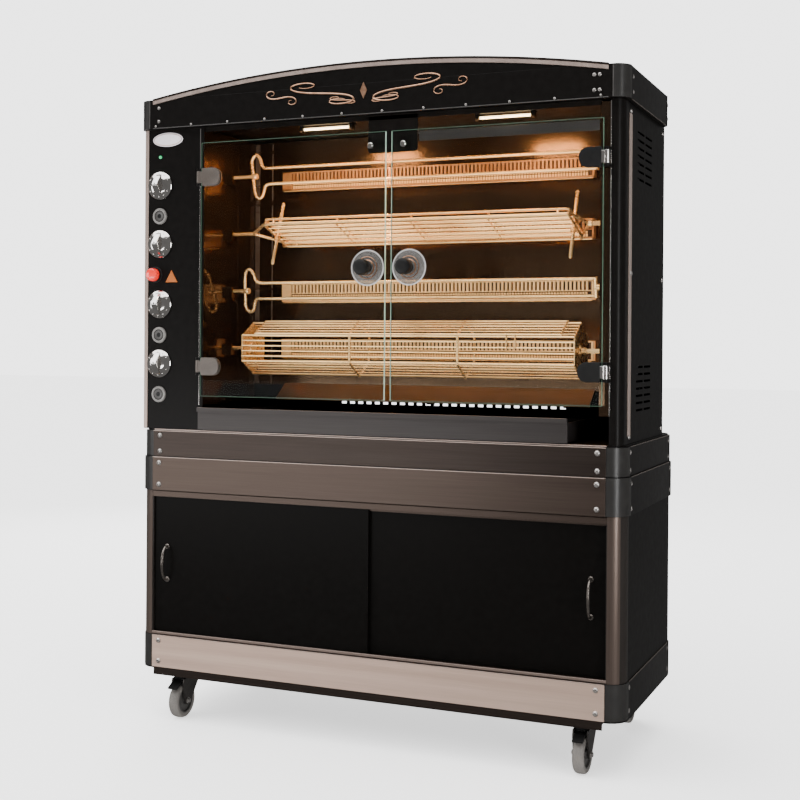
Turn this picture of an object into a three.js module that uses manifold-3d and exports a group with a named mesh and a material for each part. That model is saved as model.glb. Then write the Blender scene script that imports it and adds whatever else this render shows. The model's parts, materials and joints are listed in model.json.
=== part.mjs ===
// Free-standing rotisserie oven with four spits, glass doors and a wheeled storage cabinet.
// Millimetres, +Z up, the front faces -Y. Inside the group the cabinet is centred on X = 0 and Y = 0.

import * as THREE from 'three';
import { mergeVertices } from 'three/addons/utils/BufferGeometryUtils.js';
import Module from 'manifold-3d';

const wasm = await Module();
wasm.setup();

// ---------------------------------------------------------------- driving dimensions

const CABINET_WIDTH = 1416;
const CABINET_DEPTH = 580;
const CABINET_CORNER = 46;
const GAP = 0.3;
const SHEET = 3;

const CASTER_TOP = 135;
const CASTER_PLATE = 7;
const PLINTH_BOTTOM = 150;
const CABINET_BOTTOM = 243;
const OPENING_BOTTOM = 256;
const OPENING_TOP = 632;
const LOWER_BAND_BOTTOM = 657;
const BAND_JOINT = 754;
const UPPER_BAND_TOP = 829;
const OVEN_BOTTOM = 833;
const HEADER_BOTTOM = 1692;
const HEADER_SIDE_TOP = 1775;
const ARCH_TOP = 1834;

const LOWER_BAND_PROUD = 6;
const OVEN_HALF_WIDTH = 700;
const OVEN_FRONT = -285;
const OVEN_BACK = 190;

const CAVITY_LEFT = -505;
const CAVITY_RIGHT = 640;
const CAVITY_BACK = 10;
const CAVITY_BOTTOM = 905;
const CAVITY_TOP = HEADER_BOTTOM - 6;
const DOORWAY_RIGHT = 666;

const SPIT_Y = -140;
const SPIT_PITCH = 166;
const SPIT_TOP_Z = 1564;
const SPIT_LEFT = -503;
const SPIT_RIGHT = 662;

const GLASS_FRONT = -300;
const GLASS_BACK = -294;
const GLASS_BOTTOM = 931;
const GLASS_TOP = 1643;
const GLASS_AXIS_Y = (GLASS_FRONT + GLASS_BACK) / 2;
const DOOR_KNOB_TIP = -352;
const DOOR_KNOB_Z = 1283;

const CONTROL_X = -650;
const KNOB_HEIGHTS = [1531, 1363, 1190, 1020];
const BUTTON_HEIGHTS = [1443, 1102, 932];
const RED_BUTTON = { x: -665, z: 1275 };

const CASTER_X = 594;
const CASTER_Y = 210;
const WHEEL_RADIUS = 50;
const WHEEL_WIDTH = 30;
const CASTER_TRAIL = 32;

const cabinetFront = -CABINET_DEPTH / 2;
const cabinetBack = CABINET_DEPTH / 2;
const spitHeights = [0, 1, 2, 3].map((row) => SPIT_TOP_Z - row * SPIT_PITCH);

// The whole oven is moved so that its box is centred on Y = 0: the door knobs stand out in front.
const frontMost = DOOR_KNOB_TIP;
const backMost = cabinetBack + LOWER_BAND_PROUD;
const SHIFT_Y = -(frontMost + backMost) / 2;

// ---------------------------------------------------------------- materials

function finish(colour, roughness, metalness) {
  return new THREE.MeshStandardMaterial({ color: colour, roughness, metalness });
}

const blackPaint = finish(0x100f0f, 0.35, 0.2);
const brownSteel = finish(0x5c4f47, 0.4, 0.9);
const darkSteel = finish(0x3a322d, 0.4, 0.9);
const paleSteel = finish(0xb8a496, 0.4, 0.9);
const innerSteel = finish(0x9a8468, 0.3, 1.0);
const chrome = finish(0xd8d4ce, 0.15, 1.0);
const wireSteel = finish(0xc9b08a, 0.3, 1.0);
const trayMetal = finish(0x453f3c, 0.45, 0.8);
const glass = finish(0x98a8a0, 0.05, 0.0);
const blackPlastic = finish(0x151515, 0.4, 0.0);
const redPlastic = finish(0xb01818, 0.35, 0.0);
const burnerMetal = finish(0xa8683a, 0.5, 0.8);
const lampGlow = finish(0xfff0c8, 0.3, 0.0);
const casterSteel = finish(0x77777a, 0.4, 0.9);
const greyRubber = finish(0x5d5d5d, 0.8, 0.0);

// ---------------------------------------------------------------- solids

function toSolid(geometry) {
  const bare = geometry.index ? geometry.toNonIndexed() : geometry.clone();
  bare.deleteAttribute('normal');
  bare.deleteAttribute('uv');
  const merged = mergeVertices(bare, 1e-4);
  return new wasm.Manifold(
    new wasm.Mesh({
      numProp: 3,
      vertProperties: new Float32Array(merged.attributes.position.array),
      triVerts: new Uint32Array(merged.index.array),
    }),
  );
}

function toGeometry(solid) {
  const mesh = solid.getMesh();
  const geometry = new THREE.BufferGeometry();
  geometry.setAttribute('position', new THREE.BufferAttribute(mesh.vertProperties, 3));
  geometry.setIndex(new THREE.BufferAttribute(mesh.triVerts, 1));
  geometry.computeVertexNormals();
  return geometry;
}

function block([x0, x1], [y0, y1], [z0, z1]) {
  const geometry = new THREE.BoxGeometry(x1 - x0, y1 - y0, z1 - z0);
  geometry.translate((x0 + x1) / 2, (y0 + y1) / 2, (z0 + z1) / 2);
  return toSolid(geometry);
}

// A cylinder between two points.
function rod(from, to, radius, sides = 10) {
  const start = new THREE.Vector3(...from);
  const along = new THREE.Vector3(...to).sub(start);
  const geometry = new THREE.CylinderGeometry(radius, radius, along.length(), sides);
  geometry.translate(0, along.length() / 2, 0);
  const turn = new THREE.Quaternion().setFromUnitVectors(
    new THREE.Vector3(0, 1, 0),
    along.normalize(),
  );
  geometry.applyQuaternion(turn);
  geometry.translate(start.x, start.y, start.z);
  return toSolid(geometry);
}

// A turned piece: profile points are [radius, distance], the axis runs from origin along direction.
function turned(profile, origin, direction, sides = 16) {
  const points = profile.map(([radius, distance]) => new THREE.Vector2(radius, distance));
  const geometry = new THREE.LatheGeometry(points, sides);
  const turn = new THREE.Quaternion().setFromUnitVectors(
    new THREE.Vector3(0, 1, 0),
    new THREE.Vector3(...direction),
  );
  geometry.applyQuaternion(turn);
  geometry.translate(...origin);
  return toSolid(geometry);
}

// A bar bent through a list of points, with sharp mitred corners left out by a smooth curve.
function bentBar(points, radius, steps, sides = 6) {
  const curve = new THREE.CatmullRomCurve3(
    points.map((point) => new THREE.Vector3(...point)),
    false,
    'centripetal',
  );
  const outline = new THREE.Shape();
  for (let i = 0; i < sides; i += 1) {
    const angle = (2 * Math.PI * i) / sides;
    const x = radius * Math.cos(angle);
    const y = radius * Math.sin(angle);
    if (i === 0) outline.moveTo(x, y);
    else outline.lineTo(x, y);
  }
  outline.closePath();
  return toSolid(new THREE.ExtrudeGeometry(outline, { steps, extrudePath: curve }));
}

function joined(solids) {
  return solids.reduce((sum, solid) => sum.add(solid));
}

// Plan outline with rounded corners, extruded upward.
function roundedPrism([x0, x1], [y0, y1], radius, [z0, z1], steps = 3) {
  const shape = new THREE.Shape();
  shape.moveTo(x0 + radius, y0);
  shape.lineTo(x1 - radius, y0);
  shape.absarc(x1 - radius, y0 + radius, radius, -Math.PI / 2, 0, false);
  shape.lineTo(x1, y1 - radius);
  shape.absarc(x1 - radius, y1 - radius, radius, 0, Math.PI / 2, false);
  shape.lineTo(x0 + radius, y1);
  shape.absarc(x0 + radius, y1 - radius, radius, Math.PI / 2, Math.PI, false);
  shape.lineTo(x0, y0 + radius);
  shape.absarc(x0 + radius, y0 + radius, radius, Math.PI, 1.5 * Math.PI, false);
  const geometry = new THREE.ExtrudeGeometry(shape, {
    depth: z1 - z0,
    bevelEnabled: false,
    curveSegments: steps,
  });
  geometry.translate(0, 0, z0);
  return toSolid(geometry);
}

// An outline drawn in one plane and extruded along the axis across it.
function plateAcrossY(points, [y0, y1]) {
  const shape = new THREE.Shape(points.map(([x, z]) => new THREE.Vector2(x, z)));
  const geometry = new THREE.ExtrudeGeometry(shape, { depth: y1 - y0, bevelEnabled: false });
  geometry.rotateX(Math.PI / 2);
  geometry.translate(0, y1, 0);
  return toSolid(geometry);
}

function plateAcrossX(points, [x0, x1]) {
  const shape = new THREE.Shape(points.map(([y, z]) => new THREE.Vector2(y, z)));
  const geometry = new THREE.ExtrudeGeometry(shape, { depth: x1 - x0, bevelEnabled: false });
  geometry.rotateX(Math.PI / 2);
  geometry.rotateZ(Math.PI / 2);
  geometry.translate(x0, 0, 0);
  return toSolid(geometry);
}

const oven = new THREE.Group();
oven.position.y = SHIFT_Y;

function place(name, solid, material) {
  const mesh = new THREE.Mesh(toGeometry(solid), material);
  mesh.name = name;
  oven.add(mesh);
}

// ---------------------------------------------------------------- cabinet

// A rounded ring that follows the cabinet's plan, proud of it by the given amount.
function planRing(proud, wall, [z0, z1]) {
  const halfWidth = CABINET_WIDTH / 2 + proud;
  const halfDepth = CABINET_DEPTH / 2 + proud;
  const radius = CABINET_CORNER + proud;
  const outer = roundedPrism([-halfWidth, halfWidth], [-halfDepth, halfDepth], radius, [z0, z1]);
  const inner = roundedPrism(
    [-halfWidth + wall, halfWidth - wall],
    [-halfDepth + wall, halfDepth - wall],
    Math.max(radius - wall, 4),
    [z0 - 1, z1 + 1],
  );
  return outer.subtract(inner);
}

// A rail frame set well inside the cabinet's outline, the bottom pan on it and four caster plates.
function baseFloor() {
  const railX = 640;
  const railY = 268;
  const railWall = 22;
  const railCorner = 24;
  const panProud = 2;
  const zRail = [CASTER_TOP, PLINTH_BOTTOM];
  const rail = roundedPrism([-railX, railX], [-railY, railY], railCorner, zRail).subtract(
    roundedPrism(
      [-railX + railWall, railX - railWall],
      [-railY + railWall, railY - railWall],
      railCorner - railWall,
      [CASTER_TOP - 1, PLINTH_BOTTOM + 1],
    ),
  );
  const pan = roundedPrism(
    [-CABINET_WIDTH / 2 - panProud, CABINET_WIDTH / 2 + panProud],
    [cabinetFront - panProud, cabinetBack + panProud],
    CABINET_CORNER + panProud,
    [PLINTH_BOTTOM - SHEET, PLINTH_BOTTOM],
  );
  const plates = [-1, 1].flatMap((sideX) =>
    [-1, 1].map((sideY) =>
      block(
        [sideX * CASTER_X - 50, sideX * CASTER_X + 50],
        [sideY * CASTER_Y - 42, sideY * CASTER_Y + 42],
        [CASTER_TOP - CASTER_PLATE, PLINTH_BOTTOM - 1],
      ),
    ),
  );
  return joined([rail, pan, ...plates]);
}

const FRAME_DEPTH = 40;
const POST_WIDTH = 34;
const DOOR_THICKNESS = 8;
const FRONT_TRACK = [cabinetFront + 8, cabinetFront + 8 + DOOR_THICKNESS];
const REAR_TRACK = [cabinetFront + 20, cabinetFront + 20 + DOOR_THICKNESS];
const DOOR_BOTTOM = OPENING_BOTTOM - 5;
const DOOR_TOP = OPENING_TOP + 7;

function cabinetFrame() {
  const halfWidth = CABINET_WIDTH / 2;
  const opening = halfWidth - POST_WIDTH;
  const zRange = [CABINET_BOTTOM + GAP, LOWER_BAND_BOTTOM - GAP];
  const whole = roundedPrism(
    [-halfWidth, halfWidth],
    [cabinetFront, cabinetBack],
    CABINET_CORNER,
    zRange,
  );
  const front = whole.intersect(
    block([-halfWidth, halfWidth], [cabinetFront, cabinetFront + FRAME_DEPTH], zRange),
  );
  const doorway = block(
    [-opening, opening],
    [cabinetFront - 1, cabinetFront + FRAME_DEPTH + 1],
    [OPENING_BOTTOM, OPENING_TOP],
  );
  const grooves = [FRONT_TRACK, REAR_TRACK].map(([y0, y1]) =>
    block([-opening, opening], [y0 - 1, y1 + 1], [DOOR_BOTTOM - 1, DOOR_TOP + 1]),
  );
  return grooves.reduce((sum, groove) => sum.subtract(groove), front.subtract(doorway));
}

function cabinetShell() {
  const halfWidth = CABINET_WIDTH / 2;
  const front = cabinetFront + FRAME_DEPTH + GAP;
  const zRange = [CABINET_BOTTOM + GAP, LOWER_BAND_BOTTOM - GAP];
  const outer = roundedPrism(
    [-halfWidth, halfWidth],
    [cabinetFront, cabinetBack],
    CABINET_CORNER,
    zRange,
  );
  const inner = roundedPrism(
    [-halfWidth + SHEET, halfWidth - SHEET],
    [cabinetFront, cabinetBack - SHEET],
    CABINET_CORNER - SHEET,
    [CABINET_BOTTOM + GAP + SHEET, LOWER_BAND_BOTTOM + 1],
  );
  const rear = block([-halfWidth - 1, halfWidth + 1], [front, cabinetBack + 1], [0, 1000]);
  return outer.subtract(inner).intersect(rear);
}

function lowerBand() {
  const ring = planRing(LOWER_BAND_PROUD, 9, [LOWER_BAND_BOTTOM, BAND_JOINT]);
  const ceiling = roundedPrism(
    [-CABINET_WIDTH / 2, CABINET_WIDTH / 2],
    [cabinetFront, cabinetBack],
    CABINET_CORNER,
    [LOWER_BAND_BOTTOM, LOWER_BAND_BOTTOM + SHEET],
  );
  return ring.add(ceiling);
}

function worktop() {
  const inset = 4;
  return roundedPrism(
    [-CABINET_WIDTH / 2 + inset, CABINET_WIDTH / 2 - inset],
    [cabinetFront + inset, cabinetBack - inset],
    CABINET_CORNER - inset,
    [UPPER_BAND_TOP + GAP, OVEN_BOTTOM - GAP],
  );
}

place('base_floor', baseFloor(), blackPaint);
place('plinth', planRing(3, 6, [PLINTH_BOTTOM + GAP, CABINET_BOTTOM]), paleSteel);
place('cabinet_frame', cabinetFrame(), brownSteel);
place('cabinet_shell', cabinetShell(), blackPaint);
place('lower_band', lowerBand(), brownSteel);
place('upper_band', planRing(2, 10, [BAND_JOINT + GAP, UPPER_BAND_TOP]), darkSteel);
place('worktop', worktop(), blackPaint);

// A sliding door panel; its top and bottom edges run in the frame's grooves.
const DOOR_OUTER = 664;
const DOOR_INNER = 13;

function bowHandle(x, face) {
  const standOff = 24;
  const half = 55;
  const z = (OPENING_BOTTOM + OPENING_TOP) / 2 + 5;
  return bentBar(
    [
      [x, face - GAP, z - half],
      [x, face - standOff + 8, z - half],
      [x, face - standOff, z - half + 14],
      [x, face - standOff - 4, z],
      [x, face - standOff, z + half - 14],
      [x, face - standOff + 8, z + half],
      [x, face - GAP, z + half],
    ],
    5,
    16,
  );
}

place('cabinet_door_left', block([-DOOR_OUTER, DOOR_INNER], FRONT_TRACK, [DOOR_BOTTOM, DOOR_TOP]), blackPaint);
place('cabinet_door_right', block([-DOOR_INNER, DOOR_OUTER], REAR_TRACK, [DOOR_BOTTOM, DOOR_TOP]), blackPaint);
place('cabinet_handle_left', bowHandle(-620, FRONT_TRACK[0]), chrome);
place('cabinet_handle_right', bowHandle(620, REAR_TRACK[0]), chrome);

// ---------------------------------------------------------------- casters

const AXLE_Z = WHEEL_RADIUS;
const FORK_TOP = CASTER_TOP - CASTER_PLATE - GAP;
const AXLE_RADIUS = 4;
const LEG_INNER = WHEEL_WIDTH / 2 + 2;
const LEG_OUTER = LEG_INNER + 4;

// The fork trails behind its swivel, which is at the given x and y. Trail is signed along Y.
function casterFork(x, y, trail) {
  const wheelY = y + trail;
  const side = Math.sign(trail);
  const head = turned(
    [[0, 0], [34, 0], [34, 14], [0, 14]],
    [x, y, FORK_TOP - 14],
    [0, 0, 1],
    14,
  );
  const legs = [-1, 1].map((hand) =>
    plateAcrossX(
      [
        [y - side * 26, FORK_TOP - 12],
        [y - side * 26, FORK_TOP - 26],
        [wheelY - side * 13, AXLE_Z - 8],
        [wheelY, AXLE_Z - 13],
        [wheelY + side * 13, AXLE_Z - 8],
        [wheelY + side * 24, FORK_TOP - 30],
        [wheelY + side * 20, FORK_TOP - 14],
        [wheelY - side * 2, FORK_TOP - 12],
      ],
      hand > 0 ? [x + LEG_INNER, x + LEG_OUTER] : [x - LEG_OUTER, x - LEG_INNER],
    ),
  );
  const crown = block(
    [x - LEG_OUTER, x + LEG_OUTER],
    [Math.min(y - side * 26, wheelY - side * 2), Math.max(y - side * 26, wheelY - side * 2)],
    [FORK_TOP - 18, FORK_TOP - 10],
  );
  const axle = rod([x - LEG_OUTER - 4, wheelY, AXLE_Z], [x + LEG_OUTER + 4, wheelY, AXLE_Z], AXLE_RADIUS, 12);
  return joined([head, crown, ...legs, axle]);
}

function casterWheel(x, wheelY) {
  const half = WHEEL_WIDTH / 2;
  const bore = AXLE_RADIUS + 0.5;
  return turned(
    [
      [bore, -half],
      [38, -half],
      [46, -half + 2],
      [WHEEL_RADIUS, -half + 6],
      [WHEEL_RADIUS, half - 6],
      [46, half - 2],
      [38, half],
      [bore, half],
      [bore, -half],
    ],
    [x, wheelY, AXLE_Z],
    [1, 0, 0],
    22,
  );
}

// The brake pedal hangs on its own pivot above the wheel and reaches out over the tread.
const PEDAL_PIVOT_Z = 104;

function brakePedal(x, wheelY, side) {
  const pivotY = wheelY + side * 16;
  return plateAcrossX(
    [
      [pivotY - side * 6, PEDAL_PIVOT_Z - 2],
      [pivotY + side * 8, PEDAL_PIVOT_Z - 3],
      [pivotY + side * 34, PEDAL_PIVOT_Z - 14],
      [pivotY + side * 36, PEDAL_PIVOT_Z - 9],
      [pivotY + side * 10, PEDAL_PIVOT_Z + 4],
      [pivotY - side * 6, PEDAL_PIVOT_Z + 4],
    ],
    [x - 14, x + 14],
  );
}

const casters = [
  { tag: 'front_left', x: -CASTER_X, y: -CASTER_Y, side: -1, braked: true },
  { tag: 'front_right', x: CASTER_X, y: -CASTER_Y, side: -1, braked: true },
  { tag: 'rear_left', x: -CASTER_X, y: CASTER_Y, side: 1, braked: false },
  { tag: 'rear_right', x: CASTER_X, y: CASTER_Y, side: 1, braked: false },
];

for (const { tag, x, y, side, braked } of casters) {
  const wheelY = y + side * CASTER_TRAIL;
  place(`caster_fork_${tag}`, casterFork(x, y, side * CASTER_TRAIL), casterSteel);
  place(`caster_wheel_${tag}`, casterWheel(x, wheelY), greyRubber);
  if (braked) place(`brake_pedal_${tag}`, brakePedal(x, wheelY, side), blackPlastic);
}

// ---------------------------------------------------------------- oven body

const bodyRange = [OVEN_BOTTOM, HEADER_BOTTOM - GAP];
const KNOB_HOLE = 5;
const BUTTON_HOLE = 15;
const RED_HOLE = 11;
const HINGE_RADIUS = 8;
const LEFT_HINGE_X = -512;
const RIGHT_HINGE_X = 660;
const PANE_SETBACK = 9;
const CLAMP_HEIGHTS = [1547, 1014];
const CLAMP_HALF = 25;
const POST_DEPTH = 56;
const BARREL_HALF = 17;

function holeAcrossY(x, z, radius, sides = 12) {
  return rod([x, OVEN_FRONT - 30, z], [x, OVEN_FRONT + 40, z], radius, sides);
}

// Two fixed knuckles, one above and one below the barrel of each glass clamp.
function hingeKnuckles(hingeX, wallX) {
  return CLAMP_HEIGHTS.flatMap((z) =>
    [-1, 1].flatMap((side) => {
      const near = z + side * (BARREL_HALF + 0.5);
      const far = z + side * (BARREL_HALF + 8);
      const heights = [Math.min(near, far), Math.max(near, far)];
      return [
        rod([hingeX, GLASS_AXIS_Y, heights[0]], [hingeX, GLASS_AXIS_Y, heights[1]], HINGE_RADIUS, 12),
        block(
          [Math.min(hingeX, wallX), Math.max(hingeX, wallX)],
          [GLASS_AXIS_Y + 2, OVEN_FRONT + 1],
          heights,
        ),
      ];
    }),
  );
}

function buttonBezel(z) {
  return turned([[0, 0], [22.5, 0], [20, 5], [0, 5]], [CONTROL_X, OVEN_FRONT, z], [0, -1, 0], 12);
}

function controlPanel() {
  const left = -OVEN_HALF_WIDTH + SHEET + GAP;
  const plate = block([left, CAVITY_LEFT], [OVEN_FRONT, OVEN_FRONT + SHEET], bodyRange);
  const flange = block([left, left + SHEET], [OVEN_FRONT, OVEN_FRONT + 24], bodyRange);
  const raised = joined([
    plate,
    flange,
    ...BUTTON_HEIGHTS.map(buttonBezel),
    ...hingeKnuckles(LEFT_HINGE_X, LEFT_HINGE_X - HINGE_RADIUS),
  ]);
  const holes = [
    ...KNOB_HEIGHTS.map((z) => holeAcrossY(CONTROL_X, z, KNOB_HOLE)),
    ...BUTTON_HEIGHTS.map((z) => holeAcrossY(CONTROL_X, z, BUTTON_HOLE)),
    holeAcrossY(RED_BUTTON.x, RED_BUTTON.z, RED_HOLE),
  ];
  return holes.reduce((sum, hole) => sum.subtract(hole), raised);
}

function postRight() {
  const right = OVEN_HALF_WIDTH;
  const outer = roundedPrism(
    [DOORWAY_RIGHT, right + 60],
    [OVEN_FRONT, OVEN_FRONT + 100],
    1,
    bodyRange,
    1,
  );
  const rounded = roundedPrism([right - 200, right], [OVEN_FRONT, OVEN_FRONT + 200], 26, bodyRange);
  const hollow = roundedPrism(
    [right - 300, right - SHEET],
    [OVEN_FRONT + SHEET, OVEN_FRONT + 300],
    26 - SHEET,
    [0, 3000],
  );
  const keep = block([DOORWAY_RIGHT, right], [OVEN_FRONT, OVEN_FRONT + POST_DEPTH], bodyRange);
  const angle = outer.intersect(rounded).intersect(keep).subtract(hollow);
  return joined([angle, ...hingeKnuckles(RIGHT_HINGE_X, DOORWAY_RIGHT + 8)]);
}

// Rows of short slots cut through the side panel beside the motors.
function ventSlots(x, [z0, z1]) {
  const rows = 7;
  const columns = 2;
  const pitchZ = (z1 - z0) / rows;
  const slots = [];
  for (let row = 0; row < rows; row += 1) {
    for (let column = 0; column < columns; column += 1) {
      const y = -100 + column * 90;
      const z = z0 + (row + 0.5) * pitchZ;
      slots.push(block([x - 20, x + 20], [y - 38, y + 38], [z - 3, z + 3]));
    }
  }
  return slots;
}

const UPPER_VENT = [1500, 1640];
const LOWER_VENT = [905, 1035];

function sideRight() {
  const outer = OVEN_HALF_WIDTH;
  const sheet = block(
    [outer - SHEET, outer],
    [OVEN_FRONT + POST_DEPTH + GAP, OVEN_BACK],
    bodyRange,
  );
  const slots = [...ventSlots(outer, UPPER_VENT), ...ventSlots(outer, LOWER_VENT)];
  return slots.reduce((sum, slot) => sum.subtract(slot), sheet);
}

function sideLeft() {
  const outer = -OVEN_HALF_WIDTH;
  return block([outer, outer + SHEET], [OVEN_FRONT, OVEN_BACK], bodyRange);
}

function ovenBack() {
  const inner = OVEN_HALF_WIDTH - SHEET - GAP;
  const sheet = block([-inner, inner], [OVEN_BACK - SHEET, OVEN_BACK], bodyRange);
  const count = 26;
  const pitch = 28;
  const centre = 63;
  const halfLength = 8.5;
  const zRange = [896, 903];
  const slots = Array.from({ length: count }, (_, index) => {
    const x = centre + (index - (count - 1) / 2) * pitch;
    return block([x - halfLength, x + halfLength], [OVEN_BACK - 10, OVEN_BACK + 10], zRange);
  });
  return slots.reduce((sum, slot) => sum.subtract(slot), sheet);
}

// Open brackets on the left wall that carry the round ends of the spits.
function spitCradles() {
  return spitHeights.map((z) => {
    const bracket = block([CAVITY_LEFT - 1, CAVITY_LEFT + 16], [SPIT_Y - 14, SPIT_Y + 14], [z - 20, z + 12]);
    const notch = block([CAVITY_LEFT, CAVITY_LEFT + 20], [SPIT_Y - 6.5, SPIT_Y + 6.5], [z - 6.5, z + 20]);
    return bracket.subtract(notch);
  });
}

const linerRange = [CAVITY_BOTTOM, CAVITY_TOP];
const linerDepth = [OVEN_FRONT + SHEET + GAP, CAVITY_BACK - GAP];

function linerLeft() {
  const wall = block([CAVITY_LEFT - SHEET, CAVITY_LEFT], linerDepth, linerRange);
  return joined([wall, ...spitCradles()]);
}

// The right wall's front edge turns outward to close the motor space off from the doorway.
function linerRight() {
  const wall = block([CAVITY_RIGHT, CAVITY_RIGHT + SHEET], linerDepth, linerRange);
  const flange = block(
    [CAVITY_RIGHT, DOORWAY_RIGHT - GAP],
    [linerDepth[0], linerDepth[0] + SHEET],
    linerRange,
  );
  const holes = spitHeights.map((z) =>
    rod([CAVITY_RIGHT - 5, SPIT_Y, z], [CAVITY_RIGHT + 8, SPIT_Y, z], 14, 12),
  );
  return holes.reduce((sum, hole) => sum.subtract(hole), wall.add(flange));
}

const BURNER_LEFT = -400;
const BURNER_RIGHT = 554;

// The wall behind the burners. Under them a lip slopes forward and throws the heat up the spits.
function burnerWall() {
  const wallBottom = 956;
  const lipFront = CAVITY_BACK - 52;
  const lipBottom = 915;
  const wall = block(
    [CAVITY_LEFT - SHEET, CAVITY_RIGHT + SHEET],
    [CAVITY_BACK, CAVITY_BACK + SHEET],
    [wallBottom, CAVITY_TOP],
  );
  const lip = plateAcrossX(
    [
      [CAVITY_BACK, wallBottom + SHEET],
      [lipFront, lipBottom + SHEET],
      [lipFront, lipBottom],
      [CAVITY_BACK + SHEET, wallBottom - 4],
      [CAVITY_BACK + SHEET, wallBottom + SHEET],
    ],
    [BURNER_LEFT, BURNER_RIGHT],
  );
  return wall.add(lip);
}

// The cavity's ceiling, with the door catch bracket hanging from its front edge.
function roofPanel() {
  const ceiling = block(
    [CAVITY_LEFT - SHEET, CAVITY_RIGHT + SHEET],
    [linerDepth[0], CAVITY_BACK + SHEET],
    [CAVITY_TOP + GAP, HEADER_BOTTOM - GAP],
  );
  const catchPlate = block([5, 148], [OVEN_FRONT + SHEET + GAP, OVEN_FRONT + 9], [1572, HEADER_BOTTOM - 3]);
  return ceiling.add(catchPlate);
}

place('control_panel', controlPanel(), blackPaint);
place('post_right', postRight(), blackPaint);
place('side_left', sideLeft(), blackPaint);
place('side_right', sideRight(), blackPaint);
place('oven_back', ovenBack(), blackPaint);
place('liner_left', linerLeft(), innerSteel);
place('liner_right', linerRight(), innerSteel);
place('burner_wall', burnerWall(), innerSteel);
place('roof_panel', roofPanel(), blackPaint);

// ---------------------------------------------------------------- header

const ARCH_HALF = 664;
const ARCH_END_Z = 1777;
const HEADER_HALF_WIDTH = 713;
const HEADER_FRONT = -303;
const HEADER_BACK = 195;

function archOutline(inset, bottom) {
  const rise = ARCH_TOP - ARCH_END_Z;
  const radius = (ARCH_HALF ** 2 + rise ** 2) / (2 * rise);
  const half = ARCH_HALF - inset;
  const steps = 20;
  const outline = [[-half, bottom], [half, bottom]];
  for (let i = 0; i <= steps; i += 1) {
    const x = half - (2 * half * i) / steps;
    outline.push([x, ARCH_TOP - inset - radius + Math.sqrt(radius ** 2 - x ** 2)]);
  }
  return outline;
}

function header() {
  const half = HEADER_HALF_WIDTH;
  const front = HEADER_FRONT;
  const back = HEADER_BACK;
  const corner = 36;
  const box = roundedPrism([-half, half], [front, back], corner, [HEADER_BOTTOM, HEADER_SIDE_TOP]);
  const arch = plateAcrossY(archOutline(0, HEADER_BOTTOM + 10), [front + 1, back - 1]);
  const boxInside = roundedPrism(
    [-half + SHEET, half - SHEET],
    [front + SHEET + 1, back - SHEET - 1],
    corner - SHEET,
    [HEADER_BOTTOM - 1, HEADER_SIDE_TOP - SHEET],
  );
  const archInside = plateAcrossY(
    archOutline(SHEET, HEADER_BOTTOM - 1),
    [front + SHEET + 1, back - SHEET - 1],
  );
  return box.add(arch).subtract(boxInside).subtract(archInside);
}

place('header', header(), blackPaint);

// ---------------------------------------------------------------- lamps, burners and motors

function lamp(x) {
  const top = CAVITY_TOP;
  const housing = block([x - 80, x + 80], [-256, -214], [top - 8, top]);
  const lens = rod([x - 72, -235, top - 12], [x + 72, -235, top - 12], 9, 12);
  return housing.add(lens);
}

place('lamp_left', lamp(-142), lampGlow);
place('lamp_right', lamp(375), lampGlow);

function burner(z) {
  const face = CAVITY_BACK - 22;
  const body = block([BURNER_LEFT, BURNER_RIGHT], [face, CAVITY_BACK - GAP], [z - 27, z + 27]);
  const recess = block([BURNER_LEFT + 6, BURNER_RIGHT - 6], [face - 1, face + 8], [z - 2, z + 22]);
  return body.subtract(recess);
}

spitHeights.forEach((z, index) => place(`burner_${index + 1}`, burner(z), burnerMetal));

const MOTOR_LEFT = CAVITY_RIGHT + SHEET + 4;
const MOTOR_RIGHT = OVEN_HALF_WIDTH - SHEET - 5;

function motorBank() {
  const plate = block(
    [MOTOR_RIGHT - 3, MOTOR_RIGHT],
    [SPIT_Y - 60, SPIT_Y + 60],
    [spitHeights[3] - 70, spitHeights[0] + 70],
  );
  const motors = spitHeights.map((z) =>
    rod([MOTOR_LEFT, SPIT_Y, z], [MOTOR_RIGHT - 1, SPIT_Y, z], 42, 14),
  );
  const sockets = spitHeights.map((z) =>
    rod([MOTOR_LEFT - 2, SPIT_Y, z], [SPIT_RIGHT + 2, SPIT_Y, z], 11, 10),
  );
  return sockets.reduce((sum, socket) => sum.subtract(socket), joined([plate, ...motors]));
}

place('motor_bank', motorBank(), casterSteel);

// ---------------------------------------------------------------- spits and baskets

const STUB_RADIUS = 5;
const DRIVE_HALF = 6;

function driveEnd(x, z) {
  return block([x, SPIT_RIGHT], [SPIT_Y - DRIVE_HALF, SPIT_Y + DRIVE_HALF], [z - DRIVE_HALF, z + DRIVE_HALF]);
}

function leftStub(x, z) {
  return rod([SPIT_LEFT, SPIT_Y, z], [x, SPIT_Y, z], STUB_RADIUS, 10);
}

// A point of a turned spit: across and rise are measured in the spit's own plane, which is
// turned about the spit's axis by the given angle.
function onSpit(z, angle) {
  return (x, across, rise) => [
    x,
    SPIT_Y + across * Math.cos(angle) - rise * Math.sin(angle),
    z + across * Math.sin(angle) + rise * Math.cos(angle),
  ];
}

const PRONG_RISE = 23;
const PRONG_RADIUS = 4.5;
const PRONG_RIGHT = 560;

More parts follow.
